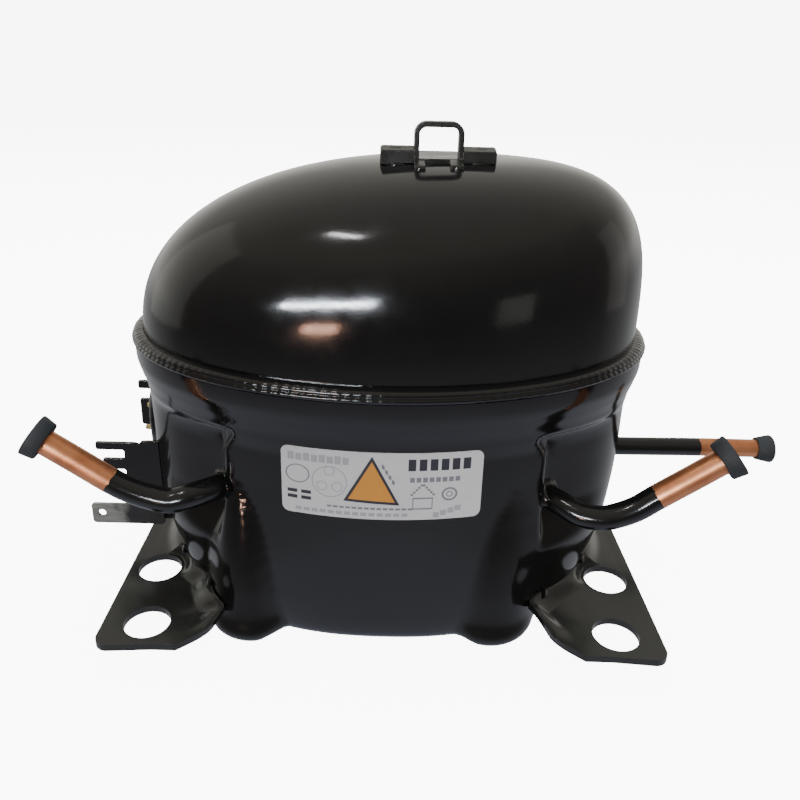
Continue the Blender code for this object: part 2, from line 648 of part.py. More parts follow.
def build_spring(name, centre):
    turns, radius, wire, z0, z1 = 4.0, 6.2, 0.6, 6.3, 25.5
    steps = int(turns * 8)
    path = []
    for i in range(steps + 1):
        angle = 2.0 * math.pi * turns * i / steps
        path.append(Vector((centre[0] + radius * math.cos(angle), centre[1] + radius * math.sin(angle),
                            z0 + (z1 - z0) * i / steps)))
    bm = bmesh.new()
    add_rod(bm, path, wire, 4)
    add_piece(name, bm, "steel")


# ---- motor --------------------------------------------------------------
def build_motor():
    bm = bmesh.new()
    half_x, half_y, cut = 48.0, 38.0, 5.0
    outline = [(half_x - cut, -half_y), (half_x, -half_y + cut), (half_x, half_y - cut), (half_x - cut, half_y),
               (-half_x + cut, half_y), (-half_x, half_y - cut), (-half_x, -half_y + cut), (-half_x + cut, -half_y)]
    add_prism(bm, outline, "Z", STATOR_Z0, STATOR_Z1)
    stator = add_piece("stator_core", bm, "laminations")
    holes = bmesh.new()
    add_cylinder(holes, 25.8, STATOR_Z0 - 2.0, STATOR_Z1 + 2.0, "Z", (0.0, 0.0), 28)
    for centre in corners():
        add_cylinder(holes, 2.9, STATOR_Z0 - 2.0, STATOR_Z1 + 2.0, "Z", centre, 12)
    combine(stator, "DIFFERENCE", holes)
    for name, low, high in (("lower_winding", 20.5, STATOR_Z0 - GAP), ("upper_winding", STATOR_Z1 + GAP, 75.5)):
        middle = 0.5 * (low + high)
        section = ((27.5, middle), (30.0, low), (37.5, low), (40.0, middle), (37.5, high), (30.0, high))
        bm = bmesh.new()
        add_turned(bm, section, "Z", (0.0, 0.0), 24, ring=True)
        add_piece(name, bm, "winding")
    section = ((SHAFT_RADIUS + GAP, 28.0), (14.0, 28.0), (14.0, 26.5), (25.2, 27.5), (25.2, 68.0),
               (14.0, 69.0), (14.0, 67.5), (SHAFT_RADIUS + GAP, 67.5))
    bm = bmesh.new()
    add_turned(bm, section, "Z", (0.0, 0.0), 28, ring=True)
    add_piece("rotor", bm, "aluminium")
    sector = [math.radians(a) for a in range(-80, 81, 20)]
    outline = [(24.0 * math.cos(a), 24.0 * math.sin(a)) for a in sector]
    outline += [(14.0 * math.cos(a), 14.0 * math.sin(a)) for a in sector[::-1]]
    bm = bmesh.new()
    add_prism(bm, outline, "Z", 69.3, 72.8)
    add_piece("counterweight", bm, "steel")


# ---- crank drive --------------------------------------------------------
PIN_X = -THROW                  # the crankpin points at the cylinder: top dead centre
PLUG_X = -0.5 * THROW
YOKE_INNER, YOKE_OUTER, YOKE_HALF_LENGTH = 10.7, 13.0, 21.0


def build_crankshaft():
    bm = bmesh.new()
    add_turned(bm, ((0.0, 26.0), (7.2, 26.0), (SHAFT_RADIUS, 27.0), (SHAFT_RADIUS, 94.6), (15.0, 94.6),
                    (15.0, 99.6), (0.0, 99.6)), "Z", (0.0, 0.0), 24)
    shaft = add_piece("crankshaft", bm, "steel")
    pin = bmesh.new()
    add_turned(pin, ((0.0, 98.0), (PIN_RADIUS, 98.0), (PIN_RADIUS, 122.4), (PIN_RADIUS - 0.7, 123.0), (0.0, 123.0)),
               "Z", (PIN_X, 0.0), 24)
    combine(shaft, "UNION", pin)
    drillings = bmesh.new()
    add_cylinder(drillings, 2.35, 24.0, 36.0, "Z", (0.0, 0.0), 16)
    add_cylinder(drillings, 1.5, 24.0, 47.0, "Z", (PLUG_X, 0.0), 12)
    combine(shaft, "DIFFERENCE", drillings)
    bm = bmesh.new()
    add_cylinder(bm, 1.2, 26.3, 46.5, "Z", (PLUG_X, 0.0), 12)
    add_piece("oil_bore_plug", bm, "brass", (PLUG_X, 0.0, 26.3))
    bm = bmesh.new()
    add_turned(bm, ((0.0, 9.0), (1.6, 9.0), (5.0, 19.0), (5.0, 24.5), (2.0, 24.5), (2.0, 35.5), (0.0, 35.5)),
               "Z", (0.0, 0.0), 16)
    add_piece("oil_pickup", bm, "steel")


def build_piston():
    pivot = (PIN_X, 0.0, CYLINDER_Z)
    inner = PISTON_RADIUS - 2.5
    section = ((0.0, PISTON_CROWN_X), (PISTON_RADIUS - 0.4, PISTON_CROWN_X), (PISTON_RADIUS, PISTON_CROWN_X + 0.4),
               (PISTON_RADIUS, -24.5), (inner, -24.5), (inner, PISTON_CROWN_X + 5.0), (0.0, PISTON_CROWN_X + 5.0))
    bm = bmesh.new()
    add_turned(bm, section, "X", (0.0, CYLINDER_Z), 28)
    add_piece("piston", bm, "steel", pivot)
    ends = YOKE_HALF_LENGTH
    bm = bmesh.new()
    add_turned(bm, ((YOKE_OUTER, -ends), (YOKE_OUTER, ends), (YOKE_INNER, ends), (YOKE_INNER, -ends)),
               "Y", (CYLINDER_Z, PIN_X), 28, ring=True)
    yoke = add_piece("yoke_tube", bm, "steel", pivot)
    stem = bmesh.new()
    add_cylinder(stem, 8.0, PISTON_CROWN_X + 5.3, PIN_X - YOKE_INNER - 0.8, "X", (0.0, CYLINDER_Z), 20)
    combine(yoke, "UNION", stem)
    slot = bmesh.new()
    reach = THROW + PIN_RADIUS + 0.7
    add_box(slot, (PIN_X - PIN_RADIUS - 0.5, -reach, 95.0), (PIN_X + PIN_RADIUS + 0.5, reach, CYLINDER_Z))
    combine(yoke, "DIFFERENCE", slot)
    bm = bmesh.new()
    add_cylinder(bm, 10.45, -10.0, 10.0, "Y", (CYLINDER_Z, PIN_X), 28)
    block = add_piece("slide_block", bm, "cast_iron", pivot)
    hole = bmesh.new()
    add_cylinder(hole, PIN_RADIUS + 0.2, 100.0, 130.0, "Z", (PIN_X, 0.0), 24)
    combine(block, "DIFFERENCE", hole)


# ---- cylinder block and head --------------------------------------------
def head_bolt_places():
    return [(sy * HEAD_BOLT_OFFSET, CYLINDER_Z + sz * HEAD_BOLT_OFFSET) for sy in (-1, 1) for sz in (-1, 1)]


def build_cylinder_block():
    bm = bmesh.new()
    add_box(bm, (-50.0, -38.0, BLOCK_Z0), (52.0, 38.0, BLOCK_Z1))
    block = add_piece("cylinder_block", bm, "cast_iron")
    boss = bmesh.new()
    add_box(boss, (BLOCK_FACE_X, -20.0, BLOCK_Z1 - 2.0), (-23.0, 20.0, CYLINDER_Z + 20.0))
    combine(block, "UNION", boss)
    hub = bmesh.new()
    add_cylinder(hub, 14.0, 75.0, BLOCK_Z0 + 1.0, "Z", (0.0, 0.0), 24)
    combine(block, "UNION", hub)
    legs = bmesh.new()
    for x, y in corners():
        add_box(legs, (x - 5.5, y - 5.5, STATOR_Z1 + GAP), (x + 5.5, y + 5.5, BLOCK_Z0 + 1.0))
    combine(block, "UNION", legs)
    bore = bmesh.new()
    add_cylinder(bore, BORE_RADIUS + 0.05, BLOCK_FACE_X - 2.0, -20.0, "X", (0.0, CYLINDER_Z), 28)
    combine(block, "DIFFERENCE", bore)
    bearing = bmesh.new()
    add_cylinder(bearing, SHAFT_RADIUS + 0.2, 70.0, 97.0, "Z", (0.0, 0.0), 24)
    combine(block, "DIFFERENCE", bearing)
    threads = bmesh.new()
    for centre in corners():
        add_cylinder(threads, 2.9, STATOR_Z1 - 2.0, 86.0, "Z", centre, 12)
    for centre in head_bolt_places():
        add_cylinder(threads, 2.3, BLOCK_FACE_X - 2.0, -44.0, "X", centre, 12)
    combine(block, "DIFFERENCE", threads)


def build_head_stack():
    low, high = CYLINDER_Z - 19.7, CYLINDER_Z + 19.7
    plate_x0, plate_x1 = BLOCK_FACE_X - 3.3, BLOCK_FACE_X - GAP
    gasket_x0 = plate_x0 - GAP - 0.8
    head_x0, head_x1 = gasket_x0 - GAP - 13.8, gasket_x0 - GAP
    discharge_port = (7.0, CYLINDER_Z + 5.5)
    suction_port = (0.0, CYLINDER_Z - 6.0)

    def bolt_holes():
        bm = bmesh.new()
        for centre in head_bolt_places():
            add_cylinder(bm, 2.3, -80.0, -50.0, "X", centre, 12)
        return bm

    bm = bmesh.new()
    add_box(bm, (plate_x0, -19.7, low), (plate_x1, 19.7, high))
    plate = add_piece("valve_plate", bm, "steel")
    cuts = bolt_holes()
    add_cylinder(cuts, 2.6, -70.0, -50.0, "X", suction_port, 12)
    add_cylinder(cuts, 2.1, -70.0, -50.0, "X", discharge_port, 12)
    combine(plate, "DIFFERENCE", cuts)

    bm = bmesh.new()
    add_box(bm, (gasket_x0, -19.7, low), (plate_x0 - GAP, 19.7, high))
    gasket = add_piece("head_gasket", bm, "gasket")
    cuts = bolt_holes()
    for z0, z1 in ((CYLINDER_Z - 16.0, CYLINDER_Z - 2.0), (CYLINDER_Z + 2.0, CYLINDER_Z + 16.2)):
        add_box(cuts, (-70.0, -11.5, z0), (-50.0, 11.5, z1))
    combine(gasket, "DIFFERENCE", cuts)

    bm = bmesh.new()
    add_box(bm, (head_x0, -19.7, low), (head_x1, 19.7, high))
    head = add_piece("cylinder_head", bm, "aluminium")
    cuts = bolt_holes()
    for z0, z1 in ((CYLINDER_Z - 16.0, CYLINDER_Z - 2.0), (CYLINDER_Z + 2.0, CYLINDER_Z + 16.2)):
        add_box(cuts, (head_x1 - 9.0, -11.5, z0), (head_x1 + 2.0, 11.5, z1))
    combine(head, "DIFFERENCE", cuts)
    inlet = bmesh.new()
    add_cylinder(inlet, 3.0, low - 2.0, low + 6.0, "Z", (head_x1 - 5.0, 0.0), 12)
    combine(head, "DIFFERENCE", inlet)

    for number, centre in enumerate(head_bolt_places(), 1):
        bm = bmesh.new()
        add_turned(bm, ((0.0, head_x0 - 4.2), (3.6, head_x0 - 4.2), (3.6, head_x0 - GAP), (2.0, head_x0 - GAP),
                        (2.0, -46.0), (0.0, -46.0)), "X", centre, 12)
        add_piece(f"head_bolt_{number}", bm, "steel")
    build_reeds(plate_x0, plate_x1)


def build_reeds(plate_x0, plate_x1):
    thickness = 0.4
    root, tip = CYLINDER_Z + 8.5, CYLINDER_Z - 9.5
    x = plate_x1 + GAP
    bm = bmesh.new()
    add_prism(bm, [(-3.6, root), (3.6, root), (3.6, tip + 2.5), (1.8, tip), (-1.8, tip), (-3.6, tip + 2.5)],
              "X", x, x + thickness)
    add_piece("suction_reed", bm, "steel", (x, 0.0, root))
    root, tip = CYLINDER_Z + 15.4, CYLINDER_Z + 2.6
    x = plate_x0 - GAP
    bm = bmesh.new()
    add_prism(bm, [(4.0, root), (10.0, root), (10.0, tip + 1.5), (8.5, tip), (5.5, tip), (4.0, tip + 1.5)],
              "X", x - thickness, x)
    add_piece("discharge_reed", bm, "steel", (x, 7.0, root))
    stop = x - thickness - 1.7
    foot = x - thickness - GAP
    bm = bmesh.new()
    add_prism(bm, [(13.3, foot), (15.6, foot), (15.6, stop - 0.8), (3.0, stop - 0.8), (3.0, stop), (13.3, stop)],
              "Y", 4.0, 10.0)
    bmesh.ops.translate(bm, verts=bm.verts, vec=(0.0, 0.0, CYLINDER_Z))
    add_piece("reed_retainer", bm, "steel")


def build_mufflers():
    bm = bmesh.new()
    add_box(bm, (-82.0, -19.0, 60.0), (-60.0, 19.0, 91.0))
    bmesh.ops.bevel(bm, geom=bm.edges[:] + bm.verts[:], offset=3.0, segments=2, affect="EDGES")
    muffler = add_piece("suction_muffler", bm, "plastic")
    neck = bmesh.new()
    add_cylinder(neck, 4.0, 90.0, 94.0, "Z", (-65.2, 0.0), 16)
    combine(muffler, "UNION", neck)
    bm = bmesh.new()
    add_turned(bm, ((0.0, BLOCK_Z1 + GAP), (11.5, BLOCK_Z1 + GAP), (11.5, 103.0), (10.0, 107.0), (6.0, 109.0),
                    (0.0, 109.5)), "Z", (38.0, 24.0), 24)
    add_piece("discharge_muffler", bm, "steel")
    bm = bmesh.new()
    route = ((50.3, 27.0, 100.5), (61.0, 31.0, 100.0), (71.0, 31.0, 94.0), (78.0, 25.0, 81.0), (80.0, 17.0, 66.0),
             (82.0, 11.8, 53.4), (87.4, 10.1, 49.8))
    add_rod(bm, smooth_path(route, 2), 2.4, 8)
    add_piece("internal_discharge_tube", bm, "copper")


def main():
    clear_scene()
    build_lower_shell()
    build_upper_shell()
    build_weld_bead()
    build_foot("left_foot", -1)
    build_foot("right_foot", 1)
    build_top_bracket()
    build_tubes()
    build_label()
    build_terminals()
    build_terminal_bracket()
    build_ground_tab()
    build_suspension()
    build_motor()
    build_crankshaft()
    build_piston()
    build_cylinder_block()
    build_head_stack()
    build_mufflers()


main()
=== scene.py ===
"""Looks of the hermetic compressor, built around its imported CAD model.

Shapes are worked out in millimetres and turned into metres by add_piece().
The frame is the CAD's: +Z up, -Y towards the label, origin under the middle of the shell.
"""

import json
import math

import bmesh
import bpy
from mathutils import Matrix, Vector, noise
from mathutils.bvhtree import BVHTree


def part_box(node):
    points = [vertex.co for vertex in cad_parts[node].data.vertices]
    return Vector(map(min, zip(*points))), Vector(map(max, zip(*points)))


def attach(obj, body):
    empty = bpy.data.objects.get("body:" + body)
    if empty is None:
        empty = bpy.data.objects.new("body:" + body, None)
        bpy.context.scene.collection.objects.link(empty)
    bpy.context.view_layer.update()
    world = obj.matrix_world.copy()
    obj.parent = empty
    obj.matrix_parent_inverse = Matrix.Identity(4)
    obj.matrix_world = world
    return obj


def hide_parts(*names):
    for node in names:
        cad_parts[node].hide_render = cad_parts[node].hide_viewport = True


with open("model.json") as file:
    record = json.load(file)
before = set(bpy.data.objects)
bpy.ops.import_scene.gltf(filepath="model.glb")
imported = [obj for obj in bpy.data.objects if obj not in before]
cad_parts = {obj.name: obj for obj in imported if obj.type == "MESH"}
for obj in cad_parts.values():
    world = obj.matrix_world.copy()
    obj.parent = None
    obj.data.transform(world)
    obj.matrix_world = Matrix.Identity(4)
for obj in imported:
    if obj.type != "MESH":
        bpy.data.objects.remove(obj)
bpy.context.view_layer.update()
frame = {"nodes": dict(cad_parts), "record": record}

MM = 0.001
TAU = 2.0 * math.pi
HOME = "shell"  # the body that the outside rides on


def cad_range(node, axis):
    """Lowest and highest coordinate of a CAD node along an axis, in millimetres."""
    low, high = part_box(node)
    return low[axis] / MM, high[axis] / MM


OUTSIDE = 140.0  # rays at the shell start this far out, millimetres


# ---- driving dimensions, millimetres ----
RIM_Z = cad_range("lower_shell", 2)[1]
DOME_TOP_Z = cad_range("upper_shell", 2)[1]
DOME_RIM_Z = RIM_Z + 4.0
DOME_LEFT, DOME_RIGHT, DOME_HALF_WIDTH = 99.3, 99.5, 67.4
DOME_APEX_X = 19.4
DOME_POWER_LEFT, DOME_POWER_RIGHT, DOME_POWER_FRONT = 2.24, 3.82, 2.78
FLANGE_A = cad_range("shell_weld_bead", 0)[1]
FLANGE_B = cad_range("shell_weld_bead", 1)[1]
SHELL_WALL = 3.0
RIM_BORE_A, RIM_BORE_B, RIM_BORE_LOW_Z = 99.7, 67.7, 95.6  # the bored seat that the dome drops into
DOME_SKIRT_Z, DOME_SKIRT_GAP = 96.3, 0.2
FLOOR_CAP_SHARE = 0.985  # the flat of the floor, as a share of its outline
SHELL_SIDES, SHELL_STEP = 360, 1.0

# Outside of the lower shell: height, half length, half width, superellipse power,
# radius of the round lobes over the springs.
LOWER_PROFILE = (
    (0.0, 70.0, 59.5, 2.4, 12.0),
    (1.2, 76.0, 62.6, 2.4, 14.8),
    (4.5, 81.5, 65.0, 2.4, 17.0),
    (11.0, 86.0, 66.0, 2.4, 15.4),
    (16.0, 88.6, 66.3, 2.4, 14.6),
    (25.0, 92.2, 66.8, 2.3, 13.4),
    (38.0, 96.0, 67.3, 2.15, 11.0),
    (52.0, 98.6, 67.7, 2.0, 7.0),
    (68.0, 99.2, 67.8, 1.95, 0.0),
    (79.0, 99.2, 67.8, 1.95, 0.0),
    (86.0, 99.6, 68.0, 2.0, 0.0),
    (93.0, 101.6, 69.6, 2.0, 0.0),
    (98.0, 102.8, 70.8, 2.0, 0.0),
    (RIM_Z, 103.0, 71.0, 2.0, 0.0),
)
LOBE_LEFT, LOBE_RIGHT = (-50.0, 52.0), (41.5, 51.0)  # centres of the spring lobes: X and half spacing
LOBE_BLEND = 24  # higher is a sharper crease beside a lobe
LOBE_FADE = 0.45  # share of a lobe that fades into the wall at its sides
# The recesses that the front and rear tubes leave from: the sharp side, which leans to the label
# at the top, and how far the recess fades towards the shell's end.
POCKET_EDGE_X, POCKET_EDGE_SOFT, POCKET_LEAN = 60.0, 2.0, 5.0
POCKET_REACH = 15.0
POCKET_LOW, POCKET_HIGH, POCKET_DEPTH = 50.0, 86.5, 5.2


# ---- mesh helpers ----
def add_piece(name, bm, finish, body=HOME, nodes=(), sharp=40.0):
    """Makes a shown piece from a bmesh in millimetres; it stands for the CAD nodes given."""
    bmesh.ops.scale(bm, verts=bm.verts, vec=(MM, MM, MM))
    bmesh.ops.recalc_face_normals(bm, faces=bm.faces)
    mesh = bpy.data.meshes.new(name)
    bm.to_mesh(mesh)
    bm.free()
    mesh.shade_smooth()
    mesh.set_sharp_from_angle(angle=math.radians(sharp))
    mesh.materials.append(finish)
    obj = bpy.data.objects.new(name, mesh)
    bpy.context.scene.collection.objects.link(obj)
    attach(obj, body)
    if nodes:
        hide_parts(*nodes)
    return obj


def soften(obj, width, segments=3, angle=40.0):
    """Rounds the piece's edges by a width in millimetres."""
    bevel = obj.modifiers.new("Rounded edges", "BEVEL")
    bevel.width = width * MM
    bevel.segments = segments
    bevel.limit_method = "ANGLE"
    bevel.angle_limit = math.radians(angle)
    bevel.harden_normals = True


def smoothstep(low, high, value):
    t = min(1.0, max(0.0, (value - low) / (high - low)))
    return t * t * (3.0 - 2.0 * t)


def circle(count):
    """Cosine and sine at equal steps round a circle."""
    return [(math.cos(TAU * i / count), math.sin(TAU * i / count)) for i in range(count)]


def bridge(bm, lower, upper, closed=True):
    count = len(lower)
    for i in range(count if closed else count - 1):
        j = (i + 1) % count
        bm.faces.new((lower[i], lower[j], upper[j], upper[i]))


def add_loft(bm, rings, ring_shaped=False):
    """Skins a stack of point rings; its ends are closed, or joined to each other if ring_shaped."""
    loops = [[bm.verts.new(p) for p in ring] for ring in rings]
    for lower, upper in zip(loops, loops[1:]):
        bridge(bm, lower, upper)
    if ring_shaped:
        bridge(bm, loops[-1], loops[0])
    else:
        bm.faces.new(loops[0][::-1])
        bm.faces.new(loops[-1])


def add_prism(bm, outline, to_point, start, end):
    """Extrudes (u, v) points; to_point(u, v, along) gives X, Y, Z."""
    add_loft(bm, [[to_point(u, v, along) for u, v in outline] for along in (start, end)])


def add_turned(bm, section, to_point, sides=48):
    """Turns (radius, along) points about an axis; both ends on the axis close it."""
    loops = []
    for radius, along in section:
        if radius < 1e-6:
            loops.append([bm.verts.new(to_point(0.0, 0.0, along))])
        else:
            loops.append([bm.verts.new(to_point(radius * c, radius * s, along)) for c, s in circle(sides)])
    for first, second in zip(loops, loops[1:]):
        if len(first) == 1 or len(second) == 1:
            tip, rim = (first, second) if len(first) == 1 else (second, first)
            for i in range(len(rim)):
                bm.faces.new((tip[0], rim[i], rim[(i + 1) % len(rim)]))
        else:
            bridge(bm, first, second)


def rounded(points, radius, steps=5):
    """An outline of (u, v) points with every corner rounded by an arc-like curve."""
    result = []
    count = len(points)
    for i, corner in enumerate(points):
        here = Vector(corner)
        before = Vector(points[i - 1]) - here
        after = Vector(points[(i + 1) % count]) - here
        cut = min(radius, 0.45 * before.length, 0.45 * after.length)
        start = here + before.normalized() * cut
        end = here + after.normalized() * cut
        for k in range(steps + 1):
            t = k / steps
            result.append(tuple((1 - t) ** 2 * start + 2 * t * (1 - t) * here + t * t * end))
    return result


def smooth_path(points):
    """A Catmull-Rom curve through the points."""
    steps = 10
    p = [Vector(q) for q in points]
    p = [2 * p[0] - p[1]] + p + [2 * p[-1] - p[-2]]
    path = []
    for i in range(1, len(p) - 2):
        for k in range(steps):
            t = k / steps
            path.append(0.5 * ((2 * p[i]) + (p[i + 1] - p[i - 1]) * t
                               + (2 * p[i - 1] - 5 * p[i] + 4 * p[i + 1] - p[i + 2]) * t * t
                               + (3 * p[i] - p[i - 1] - 3 * p[i + 1] + p[i + 2]) * t ** 3))
    path.append(p[-2])
    return path


def path_frames(path):
    """Two cross directions at each point of a path, turned as little as possible."""
    frames = []
    side = None
    for i, point in enumerate(path):
        tangent = (path[min(i + 1, len(path) - 1)] - path[max(i - 1, 0)]).normalized()
        if side is None:
            side = tangent.orthogonal()
        side = (side - tangent * side.dot(tangent)).normalized()
        frames.append((point, side, tangent.cross(side)))
    return frames


def ring_points(point, side, other, radius):
    return [point + radius * (c * side + s * other) for c, s in circle(48)]


# ---- shell surfaces ----
def signed_power(value, power):
    return math.copysign(abs(value) ** power, value)


def profile_at(z):
    """The lower shell's profile row at a height, smoothly interpolated."""
    rows = LOWER_PROFILE
    last = len(rows) - 1
    i = max(k for k in range(last) if rows[k][0] <= z)
    t = (z - rows[i][0]) / (rows[i + 1][0] - rows[i][0])
    values = []
    for c in range(1, len(rows[0])):
        p1, p2 = rows[i][c], rows[i + 1][c]
        span = rows[i + 1][0] - rows[i][0]
        m1 = slope(rows, i, c) * span
        m2 = slope(rows, i + 1, c) * span
        values.append((2 * t ** 3 - 3 * t ** 2 + 1) * p1 + (t ** 3 - 2 * t ** 2 + t) * m1
                      + (3 * t ** 2 - 2 * t ** 3) * p2 + (t ** 3 - t ** 2) * m2)
    return values


def slope(rows, i, c):
    """Slope of one profile column at row i, kept from overshooting."""
    if i in (0, len(rows) - 1):
        return 0.0 if i else (rows[1][c] - rows[0][c]) / (rows[1][0] - rows[0][0])
    before = (rows[i][c] - rows[i - 1][c]) / (rows[i][0] - rows[i - 1][0])
    after = (rows[i + 1][c] - rows[i][c]) / (rows[i + 1][0] - rows[i][0])
    if before * after <= 0.0:
        return 0.0
    return 2.0 * before * after / (before + after)


def pocket_at(x, z):
    """Depth of the recess that the front and rear tubes leave from."""
    past = abs(x) - POCKET_EDGE_X + POCKET_LEAN * smoothstep(POCKET_HIGH - 12.0, POCKET_HIGH, z)
    inner = smoothstep(-POCKET_EDGE_SOFT, POCKET_EDGE_SOFT, past)
    outer = math.exp(-0.5 * (max(0.0, past - 3.0) / POCKET_REACH) ** 2)
    above_floor = smoothstep(POCKET_LOW - 14.0, POCKET_LOW + 2.0, z)
    below_collar = smoothstep(POCKET_HIGH, POCKET_HIGH - 5.0, z)
    return POCKET_DEPTH * inner * outer * above_floor * below_collar


def lobe_growth(x, y, radius):
    """How much further out a spring lobe carries the wall at a point; 1.0 is not at all."""
    centre = LOBE_LEFT if x < 0.0 else LOBE_RIGHT
    distance = math.hypot(x, y)
    along = (x * centre[0] + abs(y) * centre[1]) / distance
    inside = radius * radius - centre[0] ** 2 - centre[1] ** 2 + along * along
    if radius <= 0.0 or inside <= 0.0:
        return 1.0
    reach = (along + math.sqrt(inside)) / distance
    growth = (1.0 + reach ** LOBE_BLEND) ** (1.0 / LOBE_BLEND) - 1.0
    return 1.0 + growth * smoothstep(0.0, LOBE_FADE, inside / radius ** 2)


def lower_ring(z, inset=0.0):
    a, b, power, lobe = profile_at(z)
    a -= inset
    b -= inset
    points = []
    for c, s in circle(SHELL_SIDES):
        x = a * signed_power(c, 2.0 / power)
        y = b * signed_power(s, 2.0 / power)
        grow = lobe_growth(x, y, lobe - inset)
        normal = Vector((x / (a * a), y / (b * b))).normalized()
        push = pocket_at(x, z) * min(1.0, abs(y) / 20.0)
        points.append((x * grow - push * normal.x, y * grow - push * normal.y, z))
    return points


def dome_ring(u, inset=0.0):
    """The dome's outline at a share of its height; each side curves by its own power."""
    left, right, front = ((1.0 - u ** power) ** (1.0 / power)
                          for power in (DOME_POWER_LEFT, DOME_POWER_RIGHT, DOME_POWER_FRONT))
    x_left = DOME_APEX_X - (DOME_LEFT - inset + DOME_APEX_X) * left
    x_right = DOME_APEX_X + (DOME_RIGHT - inset - DOME_APEX_X) * right
    half_width = (DOME_HALF_WIDTH - inset) * front
    z = DOME_RIM_Z + (DOME_TOP_Z - inset - DOME_RIM_Z) * u
    middle = 0.5 * (x_left + x_right)
    reach = 0.5 * (x_right - x_left)
    return [(middle + reach * c, half_width * s, z) for c, s in circle(SHELL_SIDES)]


def oval(a, b, z):
    return [(a * c, b * s, z) for c, s in circle(SHELL_SIDES)]


def surface_of(bm):
    """A tree for casting rays at a mesh that is still in millimetres."""
    bmesh.ops.recalc_face_normals(bm, faces=bm.faces)
    return BVHTree.FromBMesh(bm)


def hit(surface, start, direction):
    """Point and normal where a ray meets a surface; None where it misses."""
    point, normal, _, _ = surface.ray_cast(Vector(start), Vector(direction).normalized())
    return (point, normal) if point else None


# ---- materials ----
class Nodes:
    """Short ways to make and join the nodes of one tree."""

    def __init__(self, tree):
        self.tree = tree

    def node(self, kind, **settings):
        made = self.tree.nodes.new(kind)
        for key, value in settings.items():
            setattr(made, key, value)
        return made

    def link(self, output, target):
        self.tree.links.new(output, target)

    def feed(self, value, socket):
        """Gives a socket a number, a colour or another node's output."""
        if isinstance(value, tuple):
            socket.default_value = (*value, 1.0)
        elif isinstance(value, (int, float)):
            socket.default_value = value
        else:
            self.link(value, socket)

    def ramp(self, factor, stops):
        """A colour ramp through (position, value or colour) stops."""
        made = self.node("ShaderNodeValToRGB")
        while len(made.color_ramp.elements) < len(stops):
            made.color_ramp.elements.new(1.0)
        for element, (position, value) in zip(made.color_ramp.elements, stops):
            element.position = position
            element.color = (*value, 1.0) if isinstance(value, tuple) else (value, value, value, 1.0)
        self.link(factor, made.inputs["Fac"])
        return made.outputs["Color"]

    def mix(self, factor, first, second):
        """Blends two colours or colour outputs by a factor output."""
        made = self.node("ShaderNodeMix", data_type="RGBA")
        self.link(factor, made.inputs[0])
        self.feed(first, made.inputs[6])
        self.feed(second, made.inputs[7])
        return made.outputs[2]

    def math(self, operation, *values):
        made = self.node("ShaderNodeMath", operation=operation)
        for value, socket in zip(values, made.inputs):
            self.feed(value, socket)
        return made.outputs[0]


class Finish(Nodes):
    """A procedural material: one Principled shader and the nodes that drive it."""

    def __init__(self, name, colour, metallic, roughness):
        self.material = bpy.data.materials.new(name)
        self.material.use_nodes = True
        super().__init__(self.material.node_tree)
        self.shader = self.tree.nodes["Principled BSDF"]
        self.position = self.node("ShaderNodeTexCoord").outputs["Object"]
        self.shader.inputs["Base Color"].default_value = (*colour, 1.0)
        self.shader.inputs["Metallic"].default_value = metallic
        self.shader.inputs["Roughness"].default_value = roughness

    def stretched(self, scale):
        """Object coordinates scaled differently along each axis, for drawn or turned marks."""
        mapping = self.node("ShaderNodeMapping")
        mapping.inputs["Scale"].default_value = scale
        self.link(self.position, mapping.inputs["Vector"])
        return mapping.outputs["Vector"]

    def noise(self, size, detail=3.0, vector=None, roughness=0.5):
        """Noise with features of a size in millimetres."""
        made = self.node("ShaderNodeTexNoise")
        made.inputs["Scale"].default_value = 1.0 / (size * MM)
        made.inputs["Detail"].default_value = detail
        made.inputs["Roughness"].default_value = roughness
        self.link(vector or self.position, made.inputs["Vector"])
        return made.outputs["Fac"]

    def wave(self, scale, distortion=0.0, **kind):
        made = self.node("ShaderNodeTexWave", **kind)
        made.inputs["Scale"].default_value = scale
        made.inputs["Distortion"].default_value = distortion
        self.link(self.position, made.inputs["Vector"])
        return made.outputs["Fac"]

    def along(self, direction):
        """Distance along a direction, in metres."""
        made = self.node("ShaderNodeVectorMath", operation="DOT_PRODUCT")
        made.inputs[1].default_value = direction
        self.link(self.position, made.inputs[0])
        return made.outputs["Value"]

    def set(self, socket, output):
        self.link(output, self.shader.inputs[socket])

    def bump(self, height, depth):
        """Relief of a depth in millimetres; calls stack on each other."""
        made = self.node("ShaderNodeBump")
        made.inputs["Strength"].default_value = 1.0
        made.inputs["Distance"].default_value = depth * MM
        normal = self.shader.inputs["Normal"]
        if normal.links:
            self.link(normal.links[0].from_socket, made.inputs["Normal"])
        self.link(height, made.inputs["Height"])
        self.link(made.outputs["Normal"], normal)


BLACK = (0.006, 0.006, 0.0065)
COPPER = (0.62, 0.235, 0.105)


def paint_finish(name, colour, roughness, dents=0.05):
    """Baked gloss enamel on pressed steel: faint orange peel, dust and slow waves."""
    finish = Finish(name, colour, 0.0, roughness)
    cloud = finish.noise(26.0, 4.0)
    dull, bright = (tuple(share * c for c in colour) for share in (0.75, 1.35))
    finish.set("Base Color", finish.mix(cloud, dull, bright))
    rubbed = finish.noise(9.0, 5.0)
    finish.set("Roughness", finish.ramp(rubbed, ((0.3, 0.75 * roughness), (0.75, 1.3 * roughness))))
    finish.bump(finish.noise(1.3, 2.0), 0.012)
    finish.bump(finish.noise(18.0, 1.0), dents)
    return finish.material


